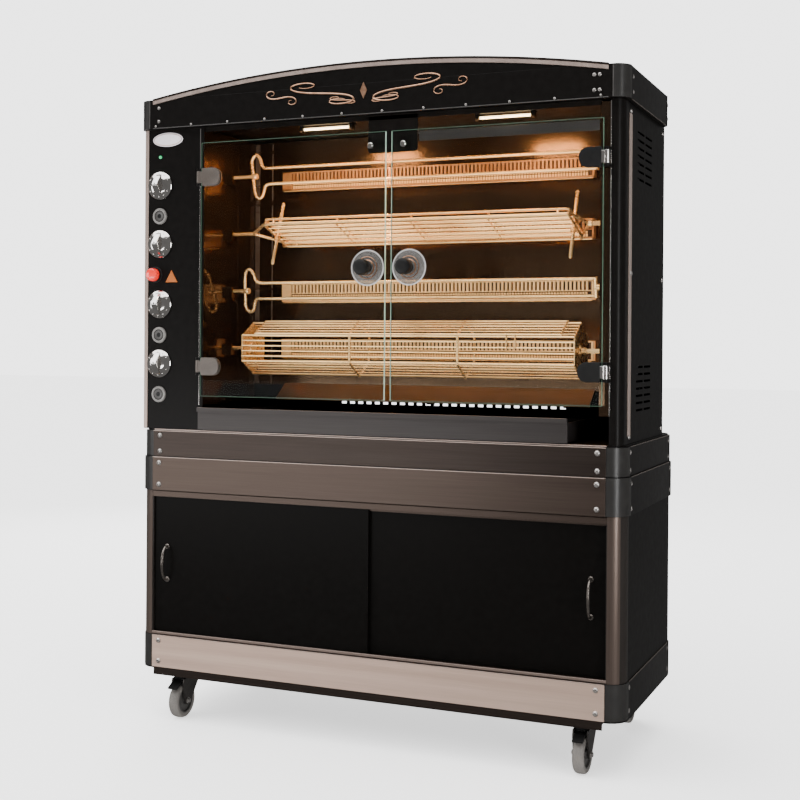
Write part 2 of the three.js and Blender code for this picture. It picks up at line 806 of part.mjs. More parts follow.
// A fork spit: two parallel prongs, the drive square on the right and a bent loop handle on the left.
function forkSpit(z, angle) {
  const turnedPoint = onSpit(z, angle);
  const at = (x, rise) => turnedPoint(x, 0, rise);
  const prongTop = rod(at(-401, PRONG_RISE), at(PRONG_RIGHT, PRONG_RISE), PRONG_RADIUS, 6);
  const prongBottom = rod(at(-392, -PRONG_RISE), at(PRONG_RIGHT, -PRONG_RISE), PRONG_RADIUS, 6);
  const loop = bentBar(
    [
      at(-398, PRONG_RISE),
      at(-412, 25),
      at(-420, 36),
      at(-427, 52),
      at(-438, 61),
      at(-449, 50),
      at(-446, 20),
      at(-440, -22),
      at(-435, -50),
      at(-424, -61),
      at(-412, -52),
      at(-409, -36),
      at(-404, -25),
      at(-389, -PRONG_RISE),
    ],
    PRONG_RADIUS,
    28,
  );
  const bridge = rod(at(PRONG_RIGHT, -PRONG_RISE - 5), at(PRONG_RIGHT, PRONG_RISE + 5), 7, 6);
  const hub = rod([-450, SPIT_Y, z], [-438, SPIT_Y, z], 9, 12);
  return joined([prongTop, prongBottom, loop, bridge, hub, leftStub(-440, z), driveEnd(560, z)]);
}

const LOWER_FORK_ANGLE = THREE.MathUtils.degToRad(195);

place('fork_spit_top', forkSpit(spitHeights[0], 0), wireSteel);
place('fork_spit_lower', forkSpit(spitHeights[2], LOWER_FORK_ANGLE), wireSteel);

// The flat basket: two long open wire grids, one over the other, with a clamping pin near each end.
const FLAT_LEFT = -350;
const FLAT_RIGHT = 540;
const FLAT_HALF = 75;
const PIN_HALF = 98;
const GRID_SPREAD = 8;
const FLAT_ANGLE = THREE.MathUtils.degToRad(-20);

function flatBasket(z) {
  const at = onSpit(z, FLAT_ANGLE);
  const bar = (from, to, radius) => rod(at(...from), at(...to), radius, 6);
  const grids = [-GRID_SPREAD, GRID_SPREAD].flatMap((rise) => [
    ...[-1, 1].map((side) =>
      bar([FLAT_LEFT, side * FLAT_HALF, rise], [FLAT_RIGHT, side * FLAT_HALF, rise], 4),
    ),
    ...[-50, -25, 0, 25, 50].map((across) =>
      bar([FLAT_LEFT, across, rise], [FLAT_RIGHT, across, rise], 2.5),
    ),
    ...[FLAT_LEFT, FLAT_RIGHT].map((x) =>
      bar([x, -FLAT_HALF - 4, rise], [x, FLAT_HALF + 4, rise], 4),
    ),
  ]);
  const spreaders = [FLAT_LEFT, FLAT_RIGHT].flatMap((x) =>
    [-1, 1].map((side) =>
      bar([x, side * FLAT_HALF, -GRID_SPREAD], [x, side * FLAT_HALF, GRID_SPREAD], 4),
    ),
  );
  const points = [-1, 1].flatMap((side) => [
    bar([FLAT_LEFT - 75, 0, 0], [FLAT_LEFT, side * FLAT_HALF, 0], 4.5),
    bar([FLAT_RIGHT + 35, 0, 0], [FLAT_RIGHT, side * FLAT_HALF, 0], 4.5),
  ]);
  const pins = [FLAT_LEFT + 6, FLAT_RIGHT - 6].map((x) =>
    bar([x, 0, -PIN_HALF], [x, 0, PIN_HALF], 5),
  );
  return joined([
    ...grids,
    ...spreaders,
    ...points,
    ...pins,
    leftStub(FLAT_LEFT - 70, z),
    driveEnd(FLAT_RIGHT + 30, z),
  ]);
}

place('flat_basket', flatBasket(spitHeights[1]), wireSteel);

// The drum basket: six-sided end plates with a vertex at the top, wires between them and two rings.
const DRUM_LEFT = -438;
const DRUM_RIGHT = 544;
const DRUM_RADIUS = 76;
const DRUM_RINGS = [-105, 213];
const SIDE_WIRES = 1;

function hexPoint(index, radius) {
  const angle = Math.PI / 2 + (index * Math.PI) / 3;
  return [SPIT_Y + radius * Math.cos(angle), spitHeights[3] + radius * Math.sin(angle)];
}

// A point part of the way along the drum's side that starts at the given vertex.
function alongSide(index, part, radius = DRUM_RADIUS) {
  const [y0, z0] = hexPoint(index, radius);
  const [y1, z1] = hexPoint(index + 1, radius);
  return [y0 + (y1 - y0) * part, z0 + (z1 - z0) * part];
}

function hexPlate([x0, x1], radius) {
  const outline = [0, 1, 2, 3, 4, 5].map((index) => hexPoint(index, radius));
  return plateAcrossX(outline, [x0, x1]);
}

// The side from the top vertex down to the front is the lid; the fixed basket has the other five.
const LID_SIDE = 0;
const LID_SPAN = [-380, 520];

function drumBasket() {
  const z = spitHeights[3];
  const plates = [
    hexPlate([DRUM_LEFT - 2, DRUM_LEFT + 2], DRUM_RADIUS - 2),
    hexPlate([DRUM_RIGHT - 2, DRUM_RIGHT + 2], DRUM_RADIUS - 2),
  ];
  const wires = [];
  const rings = [];
  for (let side = 0; side < 6; side += 1) {
    const [y, zCorner] = hexPoint(side, DRUM_RADIUS - 3);
    wires.push(rod([DRUM_LEFT, y, zCorner], [DRUM_RIGHT, y, zCorner], 3, 6));
    if (side !== LID_SIDE) {
      for (let wire = 1; wire <= SIDE_WIRES; wire += 1) {
        const [wireY, wireZ] = alongSide(side, wire / (SIDE_WIRES + 1), DRUM_RADIUS - 3);
        wires.push(rod([DRUM_LEFT, wireY, wireZ], [DRUM_RIGHT, wireY, wireZ], 2, 6));
      }
      for (const x of DRUM_RINGS) {
        const [y0, z0] = hexPoint(side, DRUM_RADIUS - 3);
        const [y1, z1] = hexPoint(side + 1, DRUM_RADIUS - 3);
        rings.push(rod([x, y0, z0], [x, y1, z1], 3, 6));
      }
    }
  }
  return joined([...plates, ...wires, ...rings, leftStub(DRUM_LEFT, z), driveEnd(DRUM_RIGHT, z)]);
}

// The lid lies just outside its side of the drum and turns about the drum's top wire.
function drumLid() {
  const lidRadius = DRUM_RADIUS + 4;
  const [lidLeft, lidRight] = LID_SPAN;
  const bars = [0.06, 0.5, 0.94].map((part) => {
    const [y, z] = alongSide(LID_SIDE, part, lidRadius);
    return rod([lidLeft, y, z], [lidRight, y, z], 2.5, 6);
  });
  const [y0, z0] = alongSide(LID_SIDE, 0.03, lidRadius);
  const [y1, z1] = alongSide(LID_SIDE, 0.97, lidRadius);
  const crossings = [lidLeft, DRUM_RINGS[0], DRUM_RINGS[1], lidRight].map((x) =>
    rod([x, y0, z0], [x, y1, z1], 2.5, 6),
  );
  return joined([...bars, ...crossings]);
}

place('drum_basket', drumBasket(), wireSteel);
place('drum_lid', drumLid(), wireSteel);

// ---------------------------------------------------------------- drip tray

const TRAY_BODY = { x: [-500, 560], back: 150, bottom: 836, rear: 872 };

function dripTray() {
  const front = block([-515, 563], [-293, -289], [835, 897]);
  const outer = block(TRAY_BODY.x, [-290, TRAY_BODY.back], [TRAY_BODY.bottom, 886]);
  const inner = block(
    [TRAY_BODY.x[0] + 2.5, TRAY_BODY.x[1] - 2.5],
    [-287, TRAY_BODY.back - 2.5],
    [TRAY_BODY.bottom + 2.5, 900],
  );
  const rearCut = block([-600, 600], [TRAY_BODY.back - 6, TRAY_BODY.back + 1], [TRAY_BODY.rear, 900]);
  const lip = block([-515, 563], [-300, -290], [886, 897]);
  return joined([front, outer.subtract(inner).subtract(rearCut), lip]);
}

place('drip_tray', dripTray(), trayMetal);

// ---------------------------------------------------------------- controls

// A round skirt with a wedge-shaped grip across it and a shaft through the panel.
function controlKnob(z) {
  const face = OVEN_FRONT - GAP;
  const skirt = turned(
    [[0, 0], [40, 0], [40, 3], [36, 8], [24, 11], [0, 11]],
    [CONTROL_X, face, z],
    [0, -1, 0],
    20,
  );
  const grip = plateAcrossX(
    [
      [face - 5, z + 37],
      [face - 5, z - 37],
      [face - 20, z - 35],
      [face - 33, z - 22],
      [face - 33, z + 22],
      [face - 20, z + 35],
    ],
    [CONTROL_X - 9, CONTROL_X + 9],
  );
  const shaft = rod([CONTROL_X, face - 1, z], [CONTROL_X, OVEN_FRONT + 20, z], KNOB_HOLE - 0.4, 12);
  return joined([skirt, grip, shaft]);
}

function pushButton(z) {
  return rod([CONTROL_X, OVEN_FRONT - 6, z], [CONTROL_X, OVEN_FRONT + 12, z], BUTTON_HOLE - 0.6, 16);
}

function redButton() {
  return turned(
    [[0, -14], [RED_HOLE - 0.5, -14], [RED_HOLE - 0.5, 7], [19, 7], [19, 20], [15, 25], [0, 26]],
    [RED_BUTTON.x, OVEN_FRONT, RED_BUTTON.z],
    [0, -1, 0],
    14,
  );
}

KNOB_HEIGHTS.forEach((z, index) => place(`control_knob_${index + 1}`, controlKnob(z), chrome));
BUTTON_HEIGHTS.forEach((z, index) => place(`push_button_${index + 1}`, pushButton(z), blackPlastic));
place('red_button', redButton(), redPlastic);

// ---------------------------------------------------------------- glass doors

const KNOB_BORE = 6;

function glassPane(xRange, knobX) {
  const pane = block(xRange, [GLASS_FRONT, GLASS_BACK], [GLASS_BOTTOM, GLASS_TOP]);
  const hole = rod([knobX, GLASS_FRONT - 5, DOOR_KNOB_Z], [knobX, GLASS_BACK + 5, DOOR_KNOB_Z], KNOB_BORE, 16);
  return pane.subtract(hole);
}

// A turned knob on a broad disc, held by a washer and nut behind the glass.
function doorKnob(x) {
  const reach = GLASS_FRONT - DOOR_KNOB_TIP;
  return turned(
    [
      [0, -13],
      [14, -13],
      [14, -6 - GAP],
      [KNOB_BORE - 0.5, -6 - GAP],
      [KNOB_BORE - 0.5, GAP],
      [47, GAP],
      [47, 2],
      [30, 5],
      [13, 8],
      [12, 20],
      [21, 26],
      [21, reach - 3],
      [18, reach],
      [0, reach],
    ],
    [x, GLASS_FRONT, DOOR_KNOB_Z],
    [0, -1, 0],
    16,
  );
}

// A clamp holds the pane between two plates, joined past the pane's edge to the hinge barrel.
function glassClamp(hingeX, z, inward) {
  const span = (from, to) => {
    const ends = [hingeX + inward * from, hingeX + inward * to];
    return [Math.min(...ends), Math.max(...ends)];
  };
  const heights = [z - CLAMP_HALF, z + CLAMP_HALF];
  const front = block(span(4.5, 70), [GLASS_FRONT - GAP - 5, GLASS_FRONT - GAP], heights);
  const back = block(span(4.5, 70), [GLASS_BACK + GAP, GLASS_BACK + GAP + 4], heights);
  const barrelHeights = [z - BARREL_HALF, z + BARREL_HALF];
  const link = block(
    span(0, PANE_SETBACK - GAP),
    [GLASS_FRONT - GAP - 2, GLASS_BACK + GAP + 2],
    barrelHeights,
  );
  const barrel = rod(
    [hingeX, GLASS_AXIS_Y, barrelHeights[0]],
    [hingeX, GLASS_AXIS_Y, barrelHeights[1]],
    HINGE_RADIUS,
    12,
  );
  const knuckleRoom = [[-60, -BARREL_HALF], [BARREL_HALF, 60]].map(([low, high]) =>
    block(span(-20, 11), [GLASS_FRONT - 30, GLASS_BACK + 30], [z + low, z + high]),
  );
  return knuckleRoom.reduce((sum, room) => sum.subtract(room), joined([front, back, link, barrel]));
}

const PANE_LEFT = [LEFT_HINGE_X + PANE_SETBACK, 63];
const PANE_RIGHT = [82, RIGHT_HINGE_X - PANE_SETBACK];
const LEFT_KNOB_X = 14;
const RIGHT_KNOB_X = 134;

place('glass_pane_left', glassPane(PANE_LEFT, LEFT_KNOB_X), glass);
place('glass_pane_right', glassPane(PANE_RIGHT, RIGHT_KNOB_X), glass);
place('door_knob_left', doorKnob(LEFT_KNOB_X), blackPlastic);
place('door_knob_right', doorKnob(RIGHT_KNOB_X), blackPlastic);

['upper', 'lower'].forEach((level, index) => {
  place(`clamp_${level}_left`, glassClamp(LEFT_HINGE_X, CLAMP_HEIGHTS[index], 1), blackPlastic);
  place(`clamp_${level}_right`, glassClamp(RIGHT_HINGE_X, CLAMP_HEIGHTS[index], -1), blackPlastic);
});

export default oven;
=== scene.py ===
import json
import math

import bmesh
import bpy
from mathutils import Matrix, Vector


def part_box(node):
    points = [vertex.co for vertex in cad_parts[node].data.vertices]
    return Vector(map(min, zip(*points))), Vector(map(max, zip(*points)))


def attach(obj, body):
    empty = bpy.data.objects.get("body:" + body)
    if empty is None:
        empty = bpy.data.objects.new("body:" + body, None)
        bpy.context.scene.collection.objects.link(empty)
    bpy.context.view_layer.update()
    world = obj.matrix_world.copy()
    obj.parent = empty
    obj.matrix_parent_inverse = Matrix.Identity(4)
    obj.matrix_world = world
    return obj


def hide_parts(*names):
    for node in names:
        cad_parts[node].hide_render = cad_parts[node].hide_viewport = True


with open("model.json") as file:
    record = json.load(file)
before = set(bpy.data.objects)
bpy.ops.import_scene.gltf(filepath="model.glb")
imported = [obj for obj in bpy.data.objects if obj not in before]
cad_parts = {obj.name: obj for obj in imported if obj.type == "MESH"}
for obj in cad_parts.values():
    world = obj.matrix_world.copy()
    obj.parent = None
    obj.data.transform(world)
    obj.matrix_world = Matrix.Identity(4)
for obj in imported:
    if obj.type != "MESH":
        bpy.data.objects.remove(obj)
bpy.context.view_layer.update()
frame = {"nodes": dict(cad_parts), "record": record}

# Lengths in this script are millimetres in the oven's own frame, and Builder turns them into metres.
MM = 0.001
GAP = 0.4


def corners(node):
    """The lowest and highest corner of a CAD node, in millimetres."""
    low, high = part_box(node)
    return low / MM, high / MM


JOINTS = {joint["name"]: joint for joint in frame["record"]["behaviour"]["joints"]}


def pivot(joint):
    return Vector(JOINTS[joint]["pos_m"]) / MM


# ---------------------------------------------------------------- places read from the frame

CABINET_HIGH = corners("cabinet_shell")[1]
FRAME_LOW, FRAME_HIGH = corners("cabinet_frame")
BODY_LOW, BODY_HIGH = corners("side_left")
BODY_FRONT = BODY_LOW.y
BODY_BACK = corners("oven_back")[1].y
BODY_HALF = -BODY_LOW.x
HEADER_LOW, HEADER_HIGH = corners("header")
HEADER_SIDE_TOP = HEADER_LOW.z + 83
ARCH_HALF = 664
ARCH_END = HEADER_LOW.z + 85
PLINTH_LOW, PLINTH_HIGH = corners("plinth")
LOWER_LOW, LOWER_HIGH = corners("lower_band")
UPPER_LOW, UPPER_HIGH = corners("upper_band")
GLASS_LOW, GLASS_HIGH = corners("glass_pane_left")
CATCH_HEIGHT = GLASS_HIGH.z - 35
RIGHT_GLASS_LOW, RIGHT_GLASS_HIGH = corners("glass_pane_right")
CABINET_CORNER = 46
FLAT_EDGE = CABINET_HIGH.x - CABINET_CORNER
CAVITY_LEFT = corners("liner_left")[1].x - 16
CAVITY_RIGHT = corners("liner_right")[0].x
CAVITY_TOP = corners("liner_left")[1].z
BURNER_LOW, BURNER_HIGH = corners("burner_1")
SPIT_ROWS = [pivot(name) for name in ("fork_spit_top_spin", "flat_basket_spin", "fork_spit_lower_spin",
    "drum_basket_spin")]
SPIT_Y = SPIT_ROWS[0].y
SPIT_ENDS = (corners("drum_basket")[0].x, corners("drum_basket")[1].x)


# ---------------------------------------------------------------- materials


GRAIN_TO_BLOTCH = 12
RELIEF_DEPTH = 0.0002


def grained(name, low, high, rough, metallic=0.0, stretch=(1, 1, 1), scale=60.0, bump=0.1, **sockets):
    """A surface whose colour wanders between low and high, with its own roughness and fine relief."""
    material = bpy.data.materials.new(name)
    material.use_nodes = True
    tree = material.node_tree
    shader = tree.nodes["Principled BSDF"]
    join = tree.links.new

    def node(kind, **values):
        made = tree.nodes.new(f"ShaderNode{kind}")
        for socket, value in values.items():
            made.inputs[socket.replace("_", " ")].default_value = value
        return made

    place = node("TexCoord")
    mapping = node("Mapping", Scale=stretch)
    join(place.outputs["Object"], mapping.inputs["Vector"])
    fine = node("TexNoise", Scale=scale, Detail=6)
    broad = node("TexNoise", Scale=scale / GRAIN_TO_BLOTCH, Detail=3)
    for noise in (fine, broad):
        join(mapping.outputs["Vector"], noise.inputs["Vector"])
    total = node("Math")
    total.operation = "ADD"
    join(fine.outputs["Fac"], total.inputs[0])
    join(broad.outputs["Fac"], total.inputs[1])
    mean = node("Math")
    mean.operation = "MULTIPLY"
    mean.inputs[1].default_value = 0.5
    join(total.outputs[0], mean.inputs[0])
    ramp = node("ValToRGB")
    for stop, position, colour in zip(ramp.color_ramp.elements, (0.35, 0.65), (low, high)):
        stop.position = position
        stop.color = (*colour, 1)
    join(mean.outputs[0], ramp.inputs["Fac"])
    join(ramp.outputs["Color"], shader.inputs["Base Color"])
    spread = node("MapRange", From_Min=0.3, From_Max=0.7, To_Min=rough[0], To_Max=rough[1])
    join(broad.outputs["Fac"], spread.inputs["Value"])
    join(spread.outputs["Result"], shader.inputs["Roughness"])
    relief = node("Bump", Strength=bump, Distance=RELIEF_DEPTH)
    join(fine.outputs["Fac"], relief.inputs["Height"])
    join(relief.outputs["Normal"], shader.inputs["Normal"])
    shader.inputs["Metallic"].default_value = metallic
    for socket, value in sockets.items():
        shader.inputs[socket.replace("_", " ")].default_value = value
    return material


BRUSHED = {"metallic": 0.8, "stretch": (2, 160, 160), "scale": 3, "bump": 0.03}
UPRIGHT = {**BRUSHED, "stretch": (160, 160, 2)}
SATIN = {"Specular_IOR_Level": 0.08, "bump": 0.03}

# Each look: the darkest colour, the lightest colour, the range of roughness, and other settings.
LOOKS = {
    "black_paint": ((0.0030, 0.0026, 0.0024), (0.0046, 0.0040, 0.0036), (0.28, 0.33),
        dict(scale=700, **SATIN)),
    # A darker, duller copy of the black paint for the sides, back and cabinet doors: painted shade.
    "black_paint_painted_shade": ((0.0020, 0.0017, 0.0015), (0.0030, 0.0026, 0.0023), (0.28, 0.33),
        dict(scale=700, bump=0.03, Specular_IOR_Level=0.045)),
    "inner_black": ((0.003, 0.0025, 0.002), (0.006, 0.0048, 0.004), (0.32, 0.4), dict(scale=500, **SATIN)),
    "pale_steel": ((0.64, 0.45, 0.36), (0.74, 0.54, 0.44), (0.3, 0.36), BRUSHED),
    "brown_steel": ((0.047, 0.033, 0.0265), (0.064, 0.0465, 0.0375), (0.28, 0.34), BRUSHED),
    "dark_steel": ((0.025, 0.018, 0.015), (0.036, 0.0265, 0.022), (0.28, 0.34), BRUSHED),
    # Lit and shaded copies of one post steel: the lighter one is painted light on the face, the dark one
    # painted shade round the corner.
    "post_steel": ((0.092, 0.067, 0.055), (0.125, 0.095, 0.080), (0.26, 0.32), UPRIGHT),
    "post_steel_painted_shade": ((0.012, 0.0095, 0.008), (0.018, 0.0145, 0.0125), (0.3, 0.36),
        dict(UPRIGHT, metallic=0.3)),
    "rail_steel": ((0.22, 0.165, 0.14), (0.28, 0.215, 0.185), (0.28, 0.34), BRUSHED),
    "corner_satin": ((0.010, 0.0095, 0.009), (0.015, 0.014, 0.013), (0.28, 0.34),
        dict(scale=600, bump=0.03, Specular_IOR_Level=0.36)),
    "ring_grey": ((0.13, 0.122, 0.115), (0.19, 0.18, 0.17), (0.3, 0.4),
        dict(metallic=0.3, scale=300, bump=0.04)),
    "trim_beige": ((0.30, 0.23, 0.20), (0.38, 0.30, 0.26), (0.3, 0.4),
        dict(metallic=0.6, stretch=(80, 80, 2), scale=4, bump=0.03)),
    "chrome": ((0.70, 0.67, 0.64), (0.80, 0.77, 0.74), (0.08, 0.14),
        dict(metallic=1.0, scale=90, bump=0.01)),
    "inner_steel": ((0.085, 0.050, 0.029), (0.115, 0.070, 0.042), (0.07, 0.11),
        dict(metallic=0.95, scale=14, bump=0.0)),
    "wall_steel": ((0.075, 0.043, 0.024), (0.105, 0.062, 0.036), (0.17, 0.22),
        dict(metallic=0.95, scale=14, bump=0.0)),
    "reflector": ((0.20, 0.11, 0.05), (0.30, 0.17, 0.08), (0.3, 0.38),
        dict(metallic=0.9, stretch=(1, 6, 6), scale=8, bump=0.0)),
    # The burner metal carries a faint painted glow; burner_painted_light is a lighter copy with a stronger
    # painted glow, painted light for the two lower burners.
    "burner_metal": ((0.36, 0.16, 0.06), (0.58, 0.29, 0.12), (0.3, 0.4),
        dict(metallic=0.8, scale=35, bump=0.04, Emission_Strength=0.06,
            Emission_Color=(1.0, 0.42, 0.14, 1))),
    "burner_painted_light": ((0.52, 0.29, 0.12), (0.80, 0.50, 0.24), (0.3, 0.4),
        dict(metallic=0.8, scale=35, bump=0.04, Emission_Strength=0.34,
            Emission_Color=(1.0, 0.58, 0.24, 1))),
    # A very dark copy of the burner metal for the backing between the ribs: painted shade in the slits.
    "burner_slit_shade": ((0.035, 0.014, 0.006), (0.07, 0.03, 0.013), (0.4, 0.5),
        dict(metallic=0.6, scale=60, bump=0.05)),
    "handle_metal": ((0.10, 0.088, 0.078), (0.17, 0.15, 0.135), (0.22, 0.3),
        dict(metallic=0.9, scale=150, bump=0.03)),
    "burner_mesh": ((0.62, 0.33, 0.12), (0.85, 0.52, 0.22), (0.35, 0.45),
        dict(metallic=0.7, scale=120, bump=0.03, Emission_Strength=0.5,
            Emission_Color=(1.0, 0.50, 0.18, 1))),
    "motor_steel": ((0.02, 0.02, 0.021), (0.04, 0.04, 0.042), (0.4, 0.5),
        dict(metallic=0.6, scale=80, bump=0.05)),
    "wire_steel": ((0.70, 0.40, 0.16), (0.92, 0.60, 0.28), (0.24, 0.3),
        dict(metallic=0.75, stretch=(3, 90, 90), scale=6, bump=0.03)),
    "tray_metal": ((0.024, 0.020, 0.019), (0.036, 0.031, 0.029), (0.33, 0.4), dict(BRUSHED, metallic=0.5)),
    "lip_metal": ((0.14, 0.11, 0.10), (0.20, 0.16, 0.14), (0.25, 0.35), BRUSHED),
    "black_plastic": ((0.004, 0.004, 0.004), (0.007, 0.0066, 0.0064), (0.34, 0.42),
        dict(scale=900, bump=0.08, Specular_IOR_Level=0.25)),
    "grey_plastic": ((0.03, 0.028, 0.026), (0.045, 0.042, 0.04), (0.3, 0.4), dict(scale=500, bump=0.05)),
    "clamp_taupe": ((0.055, 0.045, 0.038), (0.085, 0.07, 0.06), (0.3, 0.4),
        dict(metallic=0.2, scale=300, bump=0.05)),
    "red_plastic": ((0.66, 0.022, 0.014), (0.78, 0.035, 0.022), (0.16, 0.24),
        dict(scale=80, bump=0.02, Coat_Weight=0.5)),
    "amber_lens": ((0.24, 0.055, 0.002), (0.34, 0.085, 0.003), (0.3, 0.4), dict(scale=300, bump=0.03)),
    "green_lens": ((0.02, 0.30, 0.10), (0.04, 0.42, 0.16), (0.2, 0.3),
        dict(scale=300, Emission_Strength=0.4, Emission_Color=(0.05, 0.8, 0.3, 1))),
    "badge_enamel": ((0.60, 0.56, 0.58), (0.70, 0.66, 0.68), (0.2, 0.3),
        dict(scale=150, bump=0.02, Coat_Weight=0.4)),
    "caster_steel": ((0.026, 0.023, 0.021), (0.055, 0.050, 0.047), (0.35, 0.45),
        dict(metallic=0.7, scale=160, bump=0.06)),
    "bright_zinc": ((0.34, 0.32, 0.30), (0.5, 0.47, 0.45), (0.25, 0.35),
        dict(metallic=0.9, scale=150, bump=0.03)),
    "grey_rubber": ((0.075, 0.068, 0.062), (0.12, 0.11, 0.10), (0.6, 0.75), dict(scale=300, bump=0.2)),
    "copper": ((0.30, 0.15, 0.085), (0.58, 0.34, 0.22), (0.25, 0.35),
        dict(metallic=0.9, stretch=(30, 30, 30), scale=4, bump=0.03)),
    "door_glass": ((0.93, 0.96, 0.94), (0.98, 1.0, 0.985), (0.0, 0.0),
        dict(scale=12, bump=0.0, Transmission_Weight=1.0, IOR=1.14)),
    # The pale green of the cut edges is the glass's own tint; their emission is a painted glow, and the
    # meeting edges are a lighter copy with more glow, a painted highlight.
    "glass_edge_tint_and_glow": ((0.05, 0.095, 0.065), (0.08, 0.135, 0.095), (0.2, 0.3),
        dict(scale=60, bump=0.02, Emission_Strength=0.02, Emission_Color=(0.35, 0.6, 0.42, 1))),
    "meeting_edge_painted_glow": ((0.24, 0.36, 0.28), (0.36, 0.48, 0.40), (0.2, 0.3),
        dict(scale=60, bump=0.02, Emission_Strength=0.12, Emission_Color=(0.5, 0.75, 0.6, 1))),
    "disc_glass": ((0.10, 0.095, 0.09), (0.16, 0.155, 0.15), (0.12, 0.2),
        dict(scale=150, bump=0.02, Alpha=0.55)),
    # A lighter copy of the disc glass for its rim: painted highlight.
    "disc_rim_painted_highlight": ((0.34, 0.33, 0.33), (0.46, 0.45, 0.45), (0.2, 0.3), dict(scale=150, bump=0.02, Alpha=0.8)),
    "lamp_glow": ((0.95, 0.85, 0.65), (1.0, 0.93, 0.78), (0.3, 0.4),
        dict(scale=50, bump=0.0, Emission_Strength=6.0, Emission_Color=(1.0, 0.72, 0.38, 1))),
}
MATERIALS = {name: grained(name, *look[:3], **look[3]) for name, look in LOOKS.items()}


# ---------------------------------------------------------------- mesh building


SMOOTH_BELOW = 35
BEVEL_ABOVE = 40


class Builder:
    """Collects shapes, in millimetres, into one mesh."""

    def __init__(self):
        self.verts = []
        self.faces = []

    def add(self, verts, faces):
        start = len(self.verts)
        self.verts += [Vector(v) for v in verts]
        self.faces += [[start + i for i in face] for face in faces]

    def slab(self, low, high):
        (x0, y0, z0), (x1, y1, z1) = low, high
        outline = [(x0, y0), (x1, y0), (x1, y1), (x0, y1)]
        self.prism(outline, (z0, z1), "z")

    def prism(self, outline, span, axis):
        """An outline in the plane across an axis, as (y, z), (x, z) or (x, y), drawn out along it."""
        turns = {
            "x": lambda p, d: (d, p[0], p[1]),
            "y": lambda p, d: (p[0], d, p[1]),
            "z": lambda p, d: (*p, d),
        }
        turn = turns[axis]
        count = len(outline)
        verts = [turn(point, depth) for depth in span for point in outline]
        sides = [[i, (i + 1) % count, count + (i + 1) % count, count + i] for i in range(count)]
        self.add(verts, [list(range(count)), list(range(count, 2 * count)), *sides])

    def band(self, outer, inner, span):
        """The wall between two plan outlines with equally many points."""
        count = len(outer)
        bottom, top = span
        edges = ((outer, bottom), (outer, top), (inner, top), (inner, bottom))
        rows = [[(*p, z) for p in line] for line, z in edges]
        verts = [v for row in rows for v in row]
        faces = []
        for row in range(4):
            here, there = row * count, (row + 1) % 4 * count
            for i in range(count):
                j = (i + 1) % count
                faces.append([here + i, here + j, there + j, there + i])
        self.add(verts, faces)

    def turned(self, profile, origin, direction, sides=40, closed=False):
        """A turned shape: profile points are (radius, distance along the direction)."""
        turn = Vector((0, 0, 1)).rotation_difference(Vector(direction)).to_matrix()
        rings = []
        verts = []
        for radius, distance in profile:
            if radius < 1e-6:
                rings.append([len(verts)])
                verts.append(turn @ Vector((0, 0, distance)) + Vector(origin))
                continue
            rings.append(list(range(len(verts), len(verts) + sides)))
            for i in range(sides):
                angle = 2 * math.pi * i / sides
                point = Vector((radius * math.cos(angle), radius * math.sin(angle), distance))
                verts.append(turn @ point + Vector(origin))
        faces = []
        pairs = list(zip(rings, rings[1:]))
        if closed:
            pairs.append((rings[-1], rings[0]))
        for a, b in pairs:
            for i in range(sides):
                j = (i + 1) % sides
                if len(a) == 1 and len(b) == 1:
                    continue
                if len(a) == 1:
                    faces.append([a[0], b[j], b[i]])
                elif len(b) == 1:
                    faces.append([a[i], a[j], b[0]])
                else:
                    faces.append([a[i], a[j], b[j], b[i]])
        self.add(verts, faces)

    def tube(self, points, radius, sides=10):
        """A round bar along points. The radius is one number, or a list with one for each point."""
        points = [Vector(p) for p in points]
        radii = radius if isinstance(radius, list) else [radius] * len(points)
        tangents = []
        for i in range(len(points)):
            before = points[max(i - 1, 0)]
            after = points[min(i + 1, len(points) - 1)]
            tangents.append((after - before).normalized())
        normal = tangents[0].orthogonal().normalized()
        verts = []
        for i, point in enumerate(points):
            if i:
                normal = tangents[i - 1].rotation_difference(tangents[i]) @ normal
            other = tangents[i].cross(normal)
            for k in range(sides):
                angle = 2 * math.pi * k / sides
                verts.append(point + radii[i] * (math.cos(angle) * normal + math.sin(angle) * other))
        faces = [list(range(sides)), list(range(len(verts) - sides, len(verts)))]
        for i in range(len(points) - 1):
            for k in range(sides):
                a = i * sides + k
                b = i * sides + (k + 1) % sides
                faces.append([a, b, b + sides, a + sides])
        self.add(verts, faces)

    def screw(self, centre, direction, radius=6.0, rise=0.58):
        """A domed screw head with a round socket. Its height is rise times its radius."""
        top = rise * radius
        profile = [(0, 0.43 * top), (0.38 * radius, 0.43 * top), (0.42 * radius, top),
            (0.7 * radius, 0.86 * top), (0.93 * radius, 0.43 * top), (radius, 0)]
        self.turned(profile, centre, direction, 16)

    def finish(self, name, material, slot, body="carcass", replaces=(), bevel=0.0):
        """Makes the piece, in a material of LOOKS, and lets it ride on its body."""
        mesh = bpy.data.meshes.new(name)
        mesh.from_pydata([v * MM for v in self.verts], [], self.faces)
        work = bmesh.new()
        work.from_mesh(mesh)
        bmesh.ops.recalc_face_normals(work, faces=work.faces)
        work.to_mesh(mesh)
        work.free()
        mesh.shade_smooth()
        mesh.set_sharp_from_angle(angle=math.radians(SMOOTH_BELOW))
        mesh.materials.append(MATERIALS[material])
        piece = bpy.data.objects.new(name, mesh)
        bpy.context.scene.collection.objects.link(piece)
        if bevel:
            soften(piece, bevel)
        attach(piece, body)
        if replaces:
            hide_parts(*replaces)
        return piece


def soften(piece, width):
    """Rounds the sharp edges of a piece."""
    edge = piece.modifiers.new("soft_edges", "BEVEL")
    edge.width = width * MM
    edge.segments = 2
    edge.limit_method = "ANGLE"
    edge.angle_limit = math.radians(BEVEL_ABOVE)
    edge.harden_normals = True


